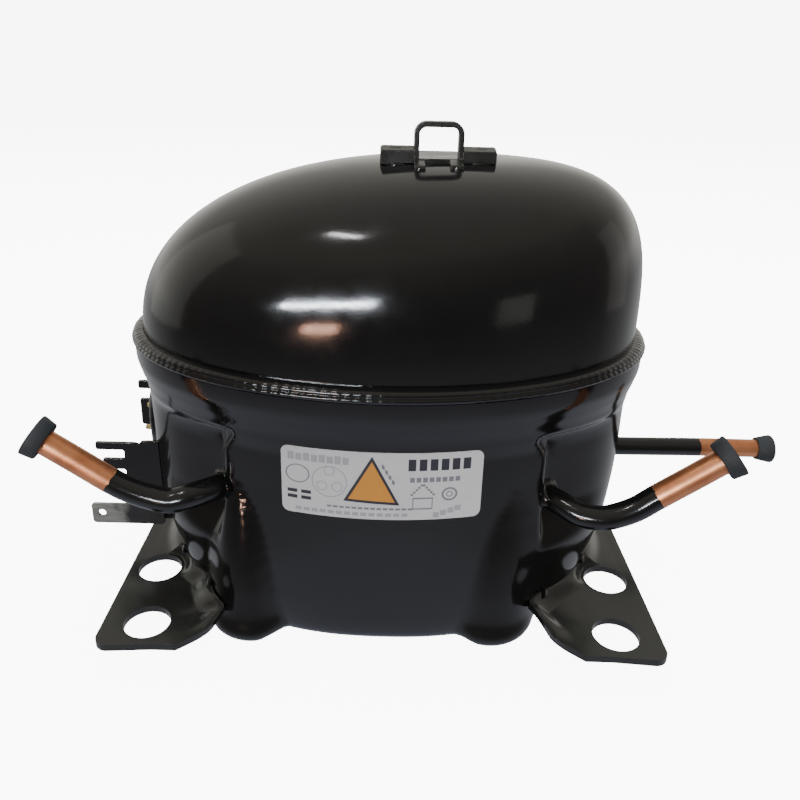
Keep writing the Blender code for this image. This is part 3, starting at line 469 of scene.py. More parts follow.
def copper_finish(name, start, direction, painted=True):
    """Drawn copper beyond a ragged paint edge that crosses the tube at a point."""
    finish = Finish(name, COPPER, 0.9, 0.34)
    lengthwise = finish.stretched(tuple(1.0 if abs(d) < 0.5 else 0.12 for d in direction))
    streaks = finish.noise(1.6, 6.0, lengthwise, 0.65)
    tarnish = finish.noise(7.0, 4.0)
    bright = finish.mix(streaks, (0.50, 0.165, 0.065), (0.78, 0.36, 0.19))
    metal = finish.mix(finish.ramp(tarnish, ((0.42, 0.0), (0.72, 0.6))), bright, (0.36, 0.13, 0.06))
    if not painted:
        finish.set("Base Color", metal)
        finish.bump(streaks, 0.02)
        return finish.material
    offset = sum(s * MM * d for s, d in zip(start, direction))
    distance = finish.math("SUBTRACT", finish.along(direction), offset)
    ragged = finish.math("MULTIPLY", finish.math("SUBTRACT", finish.noise(1.8, 5.0), 0.5), 1.6 * MM)
    bare = finish.math("GREATER_THAN", finish.math("ADD", distance, ragged), 0.0)
    finish.set("Base Color", finish.mix(bare, BLACK, metal))
    finish.set("Metallic", finish.math("MULTIPLY", bare, 0.9))
    satin = finish.math("ADD", 0.12, finish.math("MULTIPLY", bare, 0.2))
    finish.set("Roughness", finish.math("ADD", satin, finish.math("MULTIPLY", streaks, 0.1)))
    finish.bump(streaks, 0.02)
    finish.bump(bare, -0.08)
    return finish.material


def metal_finish(name, dark, light, roughness, grain=(1.0, 1.0, 0.08), size=1.2):
    """Bare metal with brushed or turned marks."""
    finish = Finish(name, light, 1.0, roughness)
    marks = finish.noise(size, 6.0, finish.stretched(grain), 0.7)
    finish.set("Base Color", finish.mix(marks, dark, light))
    finish.set("Roughness", finish.ramp(marks, ((0.2, 0.75 * roughness), (0.8, 1.25 * roughness))))
    finish.bump(marks, 0.015)
    return finish.material


def grainy_finish(name, dark, light, roughness, size=1.0, depth=0.05, metallic=0.0):
    """Castings, rubber, moulded plastic and pressed fibre: an even grain and slow clouds."""
    finish = Finish(name, light, metallic, roughness)
    grain = finish.noise(size, 5.0)
    cloud = finish.noise(14.0 * size, 3.0)
    finish.set("Base Color", finish.mix(cloud, dark, light))
    finish.set("Roughness", finish.ramp(grain, ((0.25, 0.85 * roughness), (0.8, min(1.0, 1.15 * roughness)))))
    finish.bump(grain, depth)
    return finish.material


def winding_finish():
    """Enamelled wire laid in rings round the stator."""
    finish = Finish("enamelled_wire", (0.5, 0.2, 0.08), 0.7, 0.35)
    turns = finish.wave(500.0, 0.6, wave_type="RINGS", rings_direction="Z")
    finish.set("Base Color", finish.mix(turns, (0.2, 0.06, 0.02), (0.6, 0.26, 0.1)))
    finish.bump(turns, 0.2)
    return finish.material


def lamination_finish():
    """A stack of thin electrical-steel sheets."""
    finish = Finish("laminated_steel", (0.3, 0.3, 0.32), 0.9, 0.5)
    sheets = finish.wave(320.0, wave_type="BANDS", bands_direction="Z")
    blued = finish.mix(finish.noise(9.0), (0.16, 0.17, 0.2), (0.34, 0.33, 0.32))
    finish.set("Base Color", finish.mix(sheets, (0.08, 0.08, 0.09), blued))
    finish.bump(sheets, 0.1)
    return finish.material


def tab_finish():
    """The bare zinc tab, with overspray from the shell's paint at its root."""
    finish = Finish("zinc_tab", (0.4, 0.41, 0.38), 1.0, 0.42)
    marks = finish.noise(1.1, 6.0, finish.stretched((0.1, 1.0, 1.0)))
    zinc = finish.mix(marks, (0.15, 0.155, 0.135), (0.33, 0.335, 0.3))
    ragged = finish.math("MULTIPLY", finish.noise(5.0, 4.0), 0.012)
    edge = finish.math("MULTIPLY", finish.math("ADD", finish.along((1.0, 0.0, 0.0)), ragged), 120.0)
    spray = finish.ramp(finish.math("ADD", edge, 13.0), ((0.2, 0.0), (0.7, 1.0)))
    finish.set("Base Color", finish.mix(spray, zinc, BLACK))
    finish.set("Metallic", finish.math("SUBTRACT", 1.0, spray))
    finish.set("Roughness", finish.ramp(marks, ((0.3, 0.32), (0.8, 0.5))))
    finish.bump(marks, 0.015)
    return finish.material


def print_finish(name, colour, roughness=0.4):
    """Ink or film on the label, slightly uneven."""
    finish = Finish(name, colour, 0.0, roughness)
    cloud = finish.noise(3.0, 4.0)
    worn = tuple(0.93 * c for c in colour)
    fresh = tuple(min(1.0, 1.03 * c) for c in colour)
    finish.set("Base Color", finish.mix(cloud, worn, fresh))
    finish.bump(finish.noise(0.5, 2.0), 0.004)
    return finish.material


PAINT = paint_finish("black_enamel", BLACK, 0.13)
FOOT_PAINT = paint_finish("foot_enamel", (0.014, 0.015, 0.014), 0.2)
BRACKET_PAINT = paint_finish("bracket_enamel", (0.012, 0.013, 0.011), 0.28, 0.02)
BEAD_PAINT = paint_finish("weld_enamel", BLACK, 0.1, 0.12)
STEEL = metal_finish("machined_steel", (0.32, 0.33, 0.34), (0.6, 0.61, 0.62), 0.3)
BRASS = metal_finish("bright_brass", (0.55, 0.4, 0.16), (0.8, 0.62, 0.3), 0.28)
ALUMINIUM = metal_finish("die_cast_aluminium", (0.5, 0.51, 0.52), (0.74, 0.75, 0.76), 0.42, (1, 1, 1), 0.8)
CAST_IRON = grainy_finish("cast_iron", (0.09, 0.09, 0.095), (0.2, 0.2, 0.21), 0.6, 0.8, 0.12, 0.8)
RUBBER = grainy_finish("cap_rubber", (0.012, 0.015, 0.018), (0.024, 0.028, 0.034), 0.74, 0.5, 0.03)
PLASTIC = grainy_finish("moulded_plastic", (0.62, 0.6, 0.52), (0.76, 0.74, 0.66), 0.45, 0.7, 0.02)
GASKET = grainy_finish("pressed_fibre", (0.12, 0.14, 0.12), (0.24, 0.26, 0.22), 0.85, 0.6, 0.06)
INNER_COPPER = copper_finish("drawn_copper", (0, 0, 0), (0, 0, 1), painted=False)
GLASS_SEAL = grainy_finish("sintered_glass", (0.02, 0.03, 0.028), (0.05, 0.07, 0.065), 0.2, 0.4, 0.01)
FILM = print_finish("label_film", (0.84, 0.84, 0.87), 0.34)
INK_DARK = print_finish("ink_dark", (0.035, 0.035, 0.05))
INK_GREY = print_finish("ink_grey", (0.27, 0.27, 0.31))
INK_PALE = print_finish("ink_pale", (0.52, 0.52, 0.57))
INK_ORANGE = print_finish("ink_orange", (0.86, 0.36, 0.045))

SLOT_FINISH = {
    "black_paint": PAINT, "copper": INNER_COPPER, "winding": winding_finish(), "rubber": RUBBER,
    "label": FILM, "zinc_steel": STEEL, "steel": STEEL, "brass": BRASS, "cast_iron": CAST_IRON,
    "aluminium": ALUMINIUM, "plastic": PLASTIC, "gasket": GASKET,
}
LAMINATIONS = lamination_finish()
# Painted shade: a near-black, duller enamel for flat sheets that stand in for shade.
SHADOW_PAINT = paint_finish("shadowed_enamel", (0.004, 0.004, 0.005), 0.45)


def finish_cad_nodes():
    """Every CAD node that still shows, inside the shell included, gets its slot's finish."""
    for piece in frame["record"]["subparts"]:
        node = frame["nodes"][piece["node"]]
        chosen = SLOT_FINISH[piece["material_slot"]]
        if piece["node"] == "stator_core":
            chosen = LAMINATIONS
        node.data.materials.clear()
        node.data.materials.append(chosen)


# ---- shells ----
def build_lower_shell():
    steps = int((RIM_Z - 1.6) / SHELL_STEP)
    heights = [0.0, 0.35, 0.8] + [1.2 + SHELL_STEP * i for i in range(steps)] + [RIM_Z]
    bm = bmesh.new()
    outside = [[Vector(p) * FLOOR_CAP_SHARE for p in lower_ring(0.0)]] + [lower_ring(z) for z in heights]
    inside = [oval(RIM_BORE_A, RIM_BORE_B, z) for z in (RIM_Z, RIM_BORE_LOW_Z)]
    inside += [lower_ring(z, SHELL_WALL) for z in (84.0, 68.0, 50.0, 36.0, 24.0, 14.0, 7.0)]
    inside.append([(x, y, SHELL_WALL) for x, y, _ in lower_ring(0.0, SHELL_WALL)])
    add_loft(bm, outside + inside)
    surface = surface_of(bm)
    add_piece("shell_lower_skin", bm, PAINT, nodes=("lower_shell",), sharp=50.0)
    return surface


def build_upper_shell():
    levels = 60
    fractions = [math.sin(0.5 * math.pi * i / levels) for i in range(levels)] + [0.99985]
    skirt_a, skirt_b = DOME_LEFT, DOME_HALF_WIDTH - DOME_SKIRT_GAP
    outside = [oval(skirt_a, skirt_b, DOME_SKIRT_Z)] + [dome_ring(u) for u in fractions]
    inside = [oval(skirt_a - SHELL_WALL, skirt_b - SHELL_WALL, DOME_SKIRT_Z)]
    inside += [dome_ring(u, SHELL_WALL) for u in fractions[::5]]
    bm = bmesh.new()
    add_loft(bm, outside[::-1] + inside)
    surface = surface_of(bm)
    add_piece("shell_dome_skin", bm, PAINT, nodes=("upper_shell",), sharp=50.0)
    return surface


def build_weld_bead():
    """The seam weld: a rounded bead with ripples where the torch moved on."""
    section = ((-4.4, 0.1), (-0.9, 0.15), (-0.25, 0.6), (0.0, 1.3), (-0.1, 1.9), (-0.75, 2.35), (-0.75, 2.6),
               (-0.55, 3.1), (-1.0, 3.9), (-2.2, 4.5), (-3.4, 4.7), (-4.4, 4.8))
    stations = 1440
    loops = []
    for step, (c, s) in enumerate(circle(stations)):
        angle = TAU * step / stations
        ripple = 0.05 * math.sin(170.0 * angle)
        ripple += 0.12 * noise.noise(Vector((18.0 * c, 18.0 * s, 0.0)))
        loop = []
        for reach, rise in section:
            swell = ripple if rise > 0.3 and reach > -4.0 else 0.0
            a = FLANGE_A + reach + swell - 0.12
            b = FLANGE_B + reach + swell - 0.12
            loop.append((a * c, b * s, RIM_Z + rise + 0.4 * swell))
        loops.append(loop)
    bm = bmesh.new()
    add_loft(bm, loops, ring_shaped=True)
    add_piece("seam_weld", bm, BEAD_PAINT, nodes=("shell_weld_bead",), sharp=60.0)


# ---- feet ----
FOOT_TOP_Z, FOOT_THICKNESS = 12.0, 2.7
FOOT_OUTER_X = cad_range("right_foot", 0)[1]
FOOT_FRONT_Y = cad_range("right_foot", 1)[1]
FOOT_CORNER, FOOT_BAND, FOOT_RISE = 5.0, 9.0, 5.0
FOOT_BEND_X, FOOT_BEND_Y = 63.0, 72.6  # where the slanted inner edge changes direction
FOOT_HOLES = ((87.0, 70.0), (91.25, 38.3))
FOOT_HOLE_RADIUS = 8.5


def foot_inner_edge(surface, side, y):
    slant = 1.2 if abs(y) > FOOT_BEND_Y else 0.52
    found = hit(surface, (side * OUTSIDE, y, FOOT_TOP_Z + 2.0), (-side, 0.0, 0.0))
    at_shell = side * found[0].x + 0.25 if found else 0.0
    return max(at_shell, FOOT_BEND_X + slant * (abs(y) - FOOT_BEND_Y))


def x_hole_side(y):
    """Where the raised band must end to stay clear of a hole."""
    clear = FOOT_HOLE_RADIUS + 1.2
    beside = [x - math.sqrt(clear ** 2 - (abs(y) - hole_y) ** 2) for x, hole_y in FOOT_HOLES
              if abs(abs(y) - hole_y) < clear]
    return min(beside, default=FOOT_OUTER_X)


def build_foot(name, side, surface):
    """A punched plate whose inner edge is drawn up against the shell."""
    reach = FOOT_FRONT_Y - 1.2
    rows = [reach * (2.0 * i / 120 - 1.0) for i in range(121)]
    inner = [foot_inner_edge(surface, side, y) for y in rows]
    beside_hole = [min(FOOT_BAND, x_hole_side(y) - x) for y, x in zip(rows, inner)]
    bm = bmesh.new()
    lifts = ((1.0, 0.0), (0.97, 0.12), (0.85, 0.28), (0.6, 0.46), (0.32, 0.64), (0.1, 0.82), (0.0, 1.0))
    strip = []
    for lift, share in lifts:
        line = []
        for y, x, band in zip(rows, inner, beside_hole):
            near = smoothstep(76.0, 60.0, abs(y))
            z = FOOT_TOP_Z + FOOT_RISE * lift * near
            line.append(bm.verts.new((side * (x + band * share), y, z)))
        strip.append(line)
    for first, second in zip(strip, strip[1:]):
        bridge(bm, first, second, closed=False)
    band = strip[-1]
    corner = FOOT_OUTER_X - FOOT_CORNER
    turns = [(math.cos(math.radians(a)), math.sin(math.radians(a))) for a in range(0, 91, 6)]
    rim = [(corner + FOOT_CORNER * s, sign * (FOOT_FRONT_Y - FOOT_CORNER + FOOT_CORNER * c))
           for sign in (1, -1) for c, s in turns[::sign]]
    front = [bm.verts.new((side * x, y, FOOT_TOP_Z)) for x, y in rim]
    edges = [bm.edges.get((p, q)) for p, q in zip(band, band[1:])]
    loop = [band[-1]] + front + [band[0]]
    edges += [bm.edges.new((p, q)) for p, q in zip(loop, loop[1:])]
    for x, y in FOOT_HOLES:
        for end in (-1, 1):
            ring = [bm.verts.new((side * x + FOOT_HOLE_RADIUS * c, end * y + FOOT_HOLE_RADIUS * s,
                                  FOOT_TOP_Z)) for c, s in circle(72)]
            edges += [bm.edges.new((p, q)) for p, q in zip(ring, ring[1:] + ring[:1])]
    bmesh.ops.triangle_fill(bm, edges=edges, use_beauty=True)
    for face in bm.faces:
        face.normal_update()
        if face.normal.z < 0.0:
            face.normal_flip()
    return add_piece(name, bm, FOOT_PAINT, sharp=30.0)


def finish_foot(foot, node):
    """Gives the plate its thickness and rolled edges, and lets it stand for its CAD node."""
    plate = foot.modifiers.new("Plate thickness", "SOLIDIFY")
    plate.thickness = FOOT_THICKNESS * MM
    plate.offset = -1.0
    soften(foot, 0.85, 4, 45.0)
    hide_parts(node)


# ---- bracket on the dome ----
def dome_point(surface, x, y):
    """Height of the dome above a point."""
    return hit(surface, (x, y, 260.0), (0.0, 0.0, -1.0))[0].z


def build_top_bracket(dome):
    """A bent strap: the lifting loop, a flanged tab on each side of it and two short lugs."""
    left, right = cad_range("top_bracket", 0)
    top = cad_range("top_bracket", 2)[1]
    front, back = -18.0, -12.0
    leg_left, leg_right = 7.7, 25.6
    tab_front, tab_back, sheet = 179.2, 180.5, 1.9
    foot_z = dome_point(dome, DOME_APEX_X, front) - 0.6
    turn = 4.4

    def arch(inset):
        radius = turn - inset
        x0, x1, z1 = leg_left + turn, leg_right - turn, top - turn
        angles = [math.radians(a) for a in range(0, 91, 9)]
        rise = [(x0 - radius * math.cos(a), z1 + radius * math.sin(a)) for a in angles]
        return rise + [(x1 + radius * math.sin(a), z1 + radius * math.cos(a)) for a in angles]

    def across(u, v, along):
        return (u, along, v)

    def on_tab(u, v, along):
        return (u, v, along + tab_front + (tab_back - tab_front) * (v - front) / (back - front))

    outline = [(leg_left, foot_z)] + arch(0.0) + [(leg_right, foot_z)]
    hollow = [(leg_right - sheet, foot_z)] + arch(sheet)[::-1] + [(leg_left + sheet, foot_z)]
    bm = bmesh.new()
    add_prism(bm, outline + hollow, across, front, back)
    for x0, x1 in ((left, leg_left + 0.4), (leg_right - 0.4, right)):
        steps = [x0 + (x1 - x0) * i / 8 for i in range(9)]
        skirt = [(x, dome_point(dome, x, front + 0.7) + 0.1) for x in steps]
        add_prism(bm, skirt + [(x1, tab_front), (x0, tab_front)], across, front - 0.02, front + 1.5)
        tab = rounded([(x0, front), (x1, front), (x1, back), (x0, back)], 1.2, 3)
        add_prism(bm, tab, on_tab, -1.5, 0.02)
    for x0, x1 in ((leg_left + 0.2, 11.8), (20.6, leg_right - 0.2)):
        reach = [front + 1.0 - 8.5 * i / 6 for i in range(7)]
        lower = [(y, dome_point(dome, 0.5 * (x0 + x1), y) - 0.5) for y in reach]
        upper = [(y, z + 1.9) for y, z in lower[::-1]]
        add_prism(bm, lower + upper, lambda u, v, along: (along, u, v), x0, x1)
    corners = [(leg_left, front + 0.2), (leg_right, front + 0.2), (leg_right, 8.0), (leg_left, 8.0)]
    plate = rounded(corners, 2.0, 4)
    add_prism(bm, plate, lambda u, v, along: (u, v, along), foot_z, DOME_TOP_Z + 0.9)
    bracket = add_piece("lifting_bracket", bm, BRACKET_PAINT, nodes=("top_bracket",), sharp=30.0)
    soften(bracket, 0.35, 3)

    # Painted shade: flat near-black sheets on the tabs stand in for the shade inside the coined recesses,
    # which are not cut into the tabs.
    bm = bmesh.new()
    for x0, x1 in ((left + 3.2, leg_left - 4.6), (leg_right + 4.6, right - 3.4)):
        corners = [(x0, front + 2.5), (x1, front + 2.5), (x1, back - 2.4), (x0, back - 2.4)]
        add_prism(bm, rounded(corners, 0.5, 4), on_tab, -0.2, 0.06)
    add_piece("bracket_coining_painted_shade", bm, SHADOW_PAINT)
    bm = bmesh.new()
    for x in (left + 6.0, right - 6.0):
        add_blob(bm, (x, front + 0.3, dome_point(dome, x, front) - 0.1), (3.4, 1.3, 0.9), 3.0)
    for x in (leg_left + 2.2, leg_right - 2.6):
        add_blob(bm, (x, front - 7.0, dome_point(dome, x, front - 7.0)), (1.8, 1.4, 1.1), 7.0)
    add_piece("bracket_welds", bm, BEAD_PAINT)


def add_blob(bm, centre, reach, seed):
    """A lumpy drop of weld metal."""
    made = bmesh.ops.create_uvsphere(bm, u_segments=20, v_segments=12, radius=1.0)
    for vert in made["verts"]:
        lump = 1.0 + 0.16 * noise.noise(vert.co * 2.2 + Vector((seed, 0.0, 0.0)))
        vert.co = Vector(centre) + Vector(v * r * lump for v, r in zip(vert.co, reach))


# ---- tubes and caps ----
# Routes repeat the CAD's, from inside the shell out to the open end.
ROUTES = {
    "suction_tube": ((-53.5, -41.0, 57.8), (-58.5, -47.5, 58.6), (-63.8, -54.0, 59.7), (-70.4, -59.0, 59.8),
                     (-77.1, -60.5, 58.6), (-84.6, -60.5, 60.0), (-91.6, -60.5, 62.6), (-98.4, -60.5, 66.4),
                     (-110.2, -60.5, 74.6), (-121.9, -60.5, 82.6)),
    "process_tube": ((54.0, -40.0, 57.0), (60.0, -47.0, 57.2), (65.3, -53.5, 57.2), (71.5, -58.5, 55.9),
                     (78.3, -60.5, 55.8), (84.0, -60.5, 57.0), (90.8, -60.5, 60.1), (97.8, -60.5, 65.4),
                     (109.0, -60.5, 73.5), (119.9, -60.5, 81.5)),
    "discharge_tube": ((88.0, 10.0, 49.8), (94.0, 8.8, 49.4), (102.0, 8.0, 49.0), (118.0, 8.0, 49.1),
                       (140.0, 8.0, 49.4), (168.0, 8.0, 49.4)),
}
# Outside radius; number of the route point where the copper begins; the cap's radius near the
# tube, its rim's radius and how far it stands past the tube; reach and height of the root weld.
TUBE_SIZES = {
    "suction_tube": (4.6, 7, (7.1, 7.75, 2.9), (2.6, 2.4)),
    "process_tube": (4.5, 7, (7.0, 7.65, 2.9), (2.8, 2.8)),
    "discharge_tube": (4.0, 4, (4.9, 6.15, 4.1), (5.2, 5.0)),
}
TUBE_WALL = 1.1


def build_tube(name, shell):
    points = ROUTES[name]
    outer, copper_from, cap, fillet = TUBE_SIZES[name]
    path = smooth_path(points)
    frames = path_frames(path)
    skin = [ring_points(*f, outer) for f in frames]
    lining = [ring_points(*f, outer - TUBE_WALL) for f in frames[::-1]]
    bm = bmesh.new()
    add_loft(bm, skin + lining, ring_shaped=True)
    direction = (Vector(points[-1]) - Vector(points[-2])).normalized()
    finish = copper_finish(f"{name}_surface", points[copper_from], direction)
    add_piece(f"{name}_pipe", bm, finish, nodes=(name,), sharp=50.0)
    build_cap(name, Vector(points[-1]), direction, outer, cap)
    build_root_weld(name, path, shell, outer, fillet)


def build_cap(name, end, direction, outer, size):
    """A moulded rubber bung: a plug, and a collar that widens to a crisp rim."""
    bore = outer + 0.25
    plug = outer - TUBE_WALL - 0.3
    near, far, overhang = size
    section = [(0.0, -7.0), (plug - 0.6, -7.0), (plug, -6.2), (plug, 0.4), (bore, 0.4), (bore, -2.5),
               (near - 0.4, -2.65), (near, -2.3), (far, overhang - 0.6), (far - 0.15, overhang - 0.15),
               (far - 0.6, overhang), (far - 1.8, overhang), (far - 2.2, overhang - 0.2),
               (0.0, overhang - 0.2)]
    side = direction.orthogonal().normalized()
    other = direction.cross(side)
    bm = bmesh.new()
    add_turned(bm, section, lambda u, v, along: end + direction * along + u * side + v * other, 64)
    body = name.replace("_tube", "_cap")
    add_piece(f"{name}_bung", bm, RUBBER, body, nodes=(f"{name}_cap",), sharp=60.0)


def build_root_weld(name, path, shell, outer, size):
    """A brazed fillet where the tube leaves the shell, following the shell's surface."""
    reach, height = size
    for inner, out in zip(path, path[1:]):
        direction = (out - inner).normalized()
        found = hit(shell, out + direction * 0.01, inner - out)
        near_enough = found and (found[0] - out).length < (out - inner).length
        if near_enough and found[1].dot(direction) > 0.0:
            break
    point, normal = found
    axis = (direction + normal).normalized()
    side = axis.orthogonal().normalized()
    other = axis.cross(side)
    loops = []
    for c, s in circle(96):
        radial = c * side + s * other
        lump = noise.noise(Vector((4.0 * c, 4.0 * s, outer)))
        spread = reach * (1.0 + 0.18 * lump)
        touching = outer - 0.2
        wide = hit(shell, point + radial * (touching + spread) + axis * 14.0, -axis)
        near = hit(shell, point + radial * touching + axis * 14.0, -axis)
        if not wide or not near:
            continue
        toe = wide[0] - axis * 0.35
        root = near[0]
        throat = root.lerp(toe, 0.38) + axis * height * (0.26 + 0.05 * lump)
        crown = root.lerp(toe, 0.1) + axis * height * (0.62 + 0.08 * lump)
        top = root + axis * height * (1.0 + 0.1 * lump)
        loops.append([toe, root.lerp(toe, 0.75) + axis * 0.16 * height, throat, crown, top,
                      root - axis * 1.5 - radial * 0.8])
    bm = bmesh.new()
    add_loft(bm, loops, ring_shaped=True)
    add_piece(f"{name}_root_weld", bm, BEAD_PAINT, sharp=70.0)


# ---- label ----
LABEL_LEFT, LABEL_RIGHT = cad_range("data_label", 0)
LABEL_BOTTOM, LABEL_TOP = cad_range("data_label", 2)
LABEL_WIDTH, LABEL_HEIGHT = LABEL_RIGHT - LABEL_LEFT, LABEL_TOP - LABEL_BOTTOM
LABEL_FILM, LABEL_INK = 0.35, 0.4  # how far the film and the ink stand out
LABEL_BASE = LABEL_FILM - 0.02  # the ink's hidden side, just inside the film


def on_label(shell, s, t, offset):
    """A point of the label from its share of the width and of the height downwards."""
    place = (LABEL_LEFT + LABEL_WIDTH * s, -OUTSIDE, LABEL_TOP - LABEL_HEIGHT * t)
    point, normal = hit(shell, place, (0.0, 1.0, 0.0))
    return point + normal * offset


def build_label(shell):
    """The film with its rounded corners, and plain shapes where a real one is printed."""
    columns, rows, corner = 60, 24, 2.6
    back, face = [], []
    for r in range(rows + 1):
        t = 0.5 - 0.5 * math.cos(math.pi * r / rows)
        from_edge = min(t, 1.0 - t) * LABEL_HEIGHT
        inset = corner - math.sqrt(max(0.0, corner ** 2 - max(0.0, corner - from_edge) ** 2))
        cut = inset / LABEL_WIDTH
        line = [cut + (1.0 - 2.0 * cut) * c / columns for c in range(columns + 1)]
        back.append([on_label(shell, s, t, 0.05) for s in line])
        face.append([on_label(shell, s, t, LABEL_FILM) for s in line])
    bm = bmesh.new()
    add_sheet(bm, face, back)
    add_piece("label_film", bm, FILM, nodes=("data_label",), sharp=50.0)
    build_label_bars(shell)
    build_label_rings(shell)
    build_label_triangle(shell)


def add_sheet(bm, face, back):
    """A thin closed sheet from two equal grids of points."""
    skins = [[[bm.verts.new(p) for p in row] for row in grid] for grid in (face, back)]
    for skin in skins:
        for first, second in zip(skin, skin[1:]):
            bridge(bm, first, second, closed=False)
    rims = [skin[0] + [row[-1] for row in skin[1:]] + skin[-1][-2::-1] + [row[0] for row in skin[-2:0:-1]]
            for skin in skins]
    bridge(bm, rims[0], rims[1])


def add_bar(bm, shell, s0, s1, t0, t1, slant=0.0):
    """A printed bar; slant drops its right end by a share of the label's height."""
    columns = max(2, int((s1 - s0) * 60))
    face, back = [], []
    for t in (t0, t1):
        line = [s0 + (s1 - s0) * c / columns for c in range(columns + 1)]
        drop = [slant * (s - s0) / (s1 - s0) for s in line]
        face.append([on_label(shell, s, t + d, LABEL_INK) for s, d in zip(line, drop)])
        back.append([on_label(shell, s, t + d, LABEL_BASE) for s, d in zip(line, drop)])
    add_sheet(bm, face, back)


def add_ring(bm, shell, s, t, radius, width, squash, sides=48):
    """A printed circle outline, radius and line width in millimetres."""
    bore = radius - width
    corners = ((radius, LABEL_INK), (bore, LABEL_INK), (bore, LABEL_BASE), (radius, LABEL_BASE))
    loops = []
    for c, v in circle(sides):
        across, down = c / LABEL_WIDTH, squash * v / LABEL_HEIGHT
        loops.append([on_label(shell, s + r * across, t + r * down, offset) for r, offset in corners])
    add_loft(bm, loops, ring_shaped=True)


# Plain bars stand for the printing. Each row: how many, left, right, top and bottom of the first
# as shares of the label, the step to the next across and down, and the slant of a bar.
PRINT_ROWS = {
    "dark": ((6, 0.63, 0.667, 0.09, 0.26, 0.054, 0.0, 0.0),
             (2, 0.03, 0.08, 0.64, 0.69, 0.07, 0.0, 0.0),
             (2, 0.03, 0.08, 0.73, 0.78, 0.07, 0.0, 0.0)),
    "grey": ((8, 0.64, 0.663, 0.36, 0.43, 0.032, 0.0, 0.0),
             (14, 0.23, 0.253, 0.82, 0.85, 0.031, 0.0, 0.0),
             (4, 0.5, 0.514, 0.16, 0.22, 0.017, 0.075, 0.03),
             (2, 0.655, 0.755, 0.66, 0.68, 0.0, 0.16, 0.0),
             (2, 0.655, 0.66, 0.66, 0.83, 0.096, 0.0, 0.0),
             (5, 0.645, 0.657, 0.6, 0.63, 0.012, -0.035, 0.0),
             (5, 0.753, 0.765, 0.6, 0.63, -0.012, -0.035, 0.0)),
    "pale": ((4, 0.035, 0.066, 0.08, 0.2, 0.078, 0.0, 0.0),
             (4, 0.074, 0.105, 0.095, 0.2, 0.078, 0.0, 0.0),
             (14, 0.07, 0.1, 0.9, 0.95, 0.041, 0.0, 0.0),
             (4, 0.76, 0.79, 0.89, 0.97, 0.036, -0.03, 0.0)),
}


def build_label_bars(shell):
    for name, ink in (("dark", INK_DARK), ("grey", INK_GREY), ("pale", INK_PALE)):
        bm = bmesh.new()
        for count, left, right, top, bottom, across, down, slant in PRINT_ROWS[name]:
            for k in range(count):
                s, t = across * k, down * k
                add_bar(bm, shell, left + s, right + s, top + t, bottom + t, slant)
        add_piece(f"label_print_{name}", bm, ink)


# Printed circles: place as shares of the label, radius, line width, height as a share of the width.
PRINT_RINGS = {
    "dark": ((0.083, 0.4, 4.3, 0.45, 0.85), (0.838, 0.62, 2.8, 0.7, 0.95), (0.838, 0.62, 1.2, 0.35, 0.95)),
    "pale": ((0.243, 0.47, 6.2, 0.35, 1.0), (0.243, 0.31, 1.9, 0.3, 1.0), (0.205, 0.54, 1.9, 0.3, 1.0),
             (0.281, 0.54, 1.9, 0.3, 1.0)),
}


def build_label_rings(shell):
    for name, ink in (("dark", INK_GREY), ("pale", INK_PALE)):
        bm = bmesh.new()
        for ring in PRINT_RINGS[name]:
            add_ring(bm, shell, *ring)
        add_piece(f"label_rings_{name}", bm, ink)


def build_label_triangle(shell):
    """A plain orange triangle with a dark border, and nothing drawn inside it."""
    corners = (Vector((0.452, 0.055)), Vector((0.592, 0.775)), Vector((0.312, 0.735)))
    middle = sum(corners, Vector((0.0, 0.0))) / 3.0
    for name, scale, rise, ink in (("border", 1.0, 0.0, INK_DARK), ("field", 0.83, 0.05, INK_ORANGE)):
        shrunk = [middle + (c - middle) * scale for c in corners]
        sides = zip(shrunk, shrunk[1:] + shrunk[:1])
        outline = [start.lerp(end, k / 12) for start, end in sides for k in range(12)]
        bm = bmesh.new()
        rings = [[on_label(shell, *p, LABEL_BASE) for p in outline]]
        for share in (1.0, 0.8, 0.6, 0.4, 0.2, 0.02):
            rings.append([on_label(shell, *middle.lerp(p, share), LABEL_INK + rise) for p in outline])
        add_loft(bm, rings)
        add_piece(f"label_triangle_{name}", bm, ink, sharp=60.0)


# ---- terminals on the left end ----
HEADER_Z = 62.0
PIN_CIRCLE = 5.5
INWARD = (1.0, 0.0, 0.0)  # from the left end towards the shell


def along_x(u, v, along):
    return Vector((along, u, HEADER_Z + v))


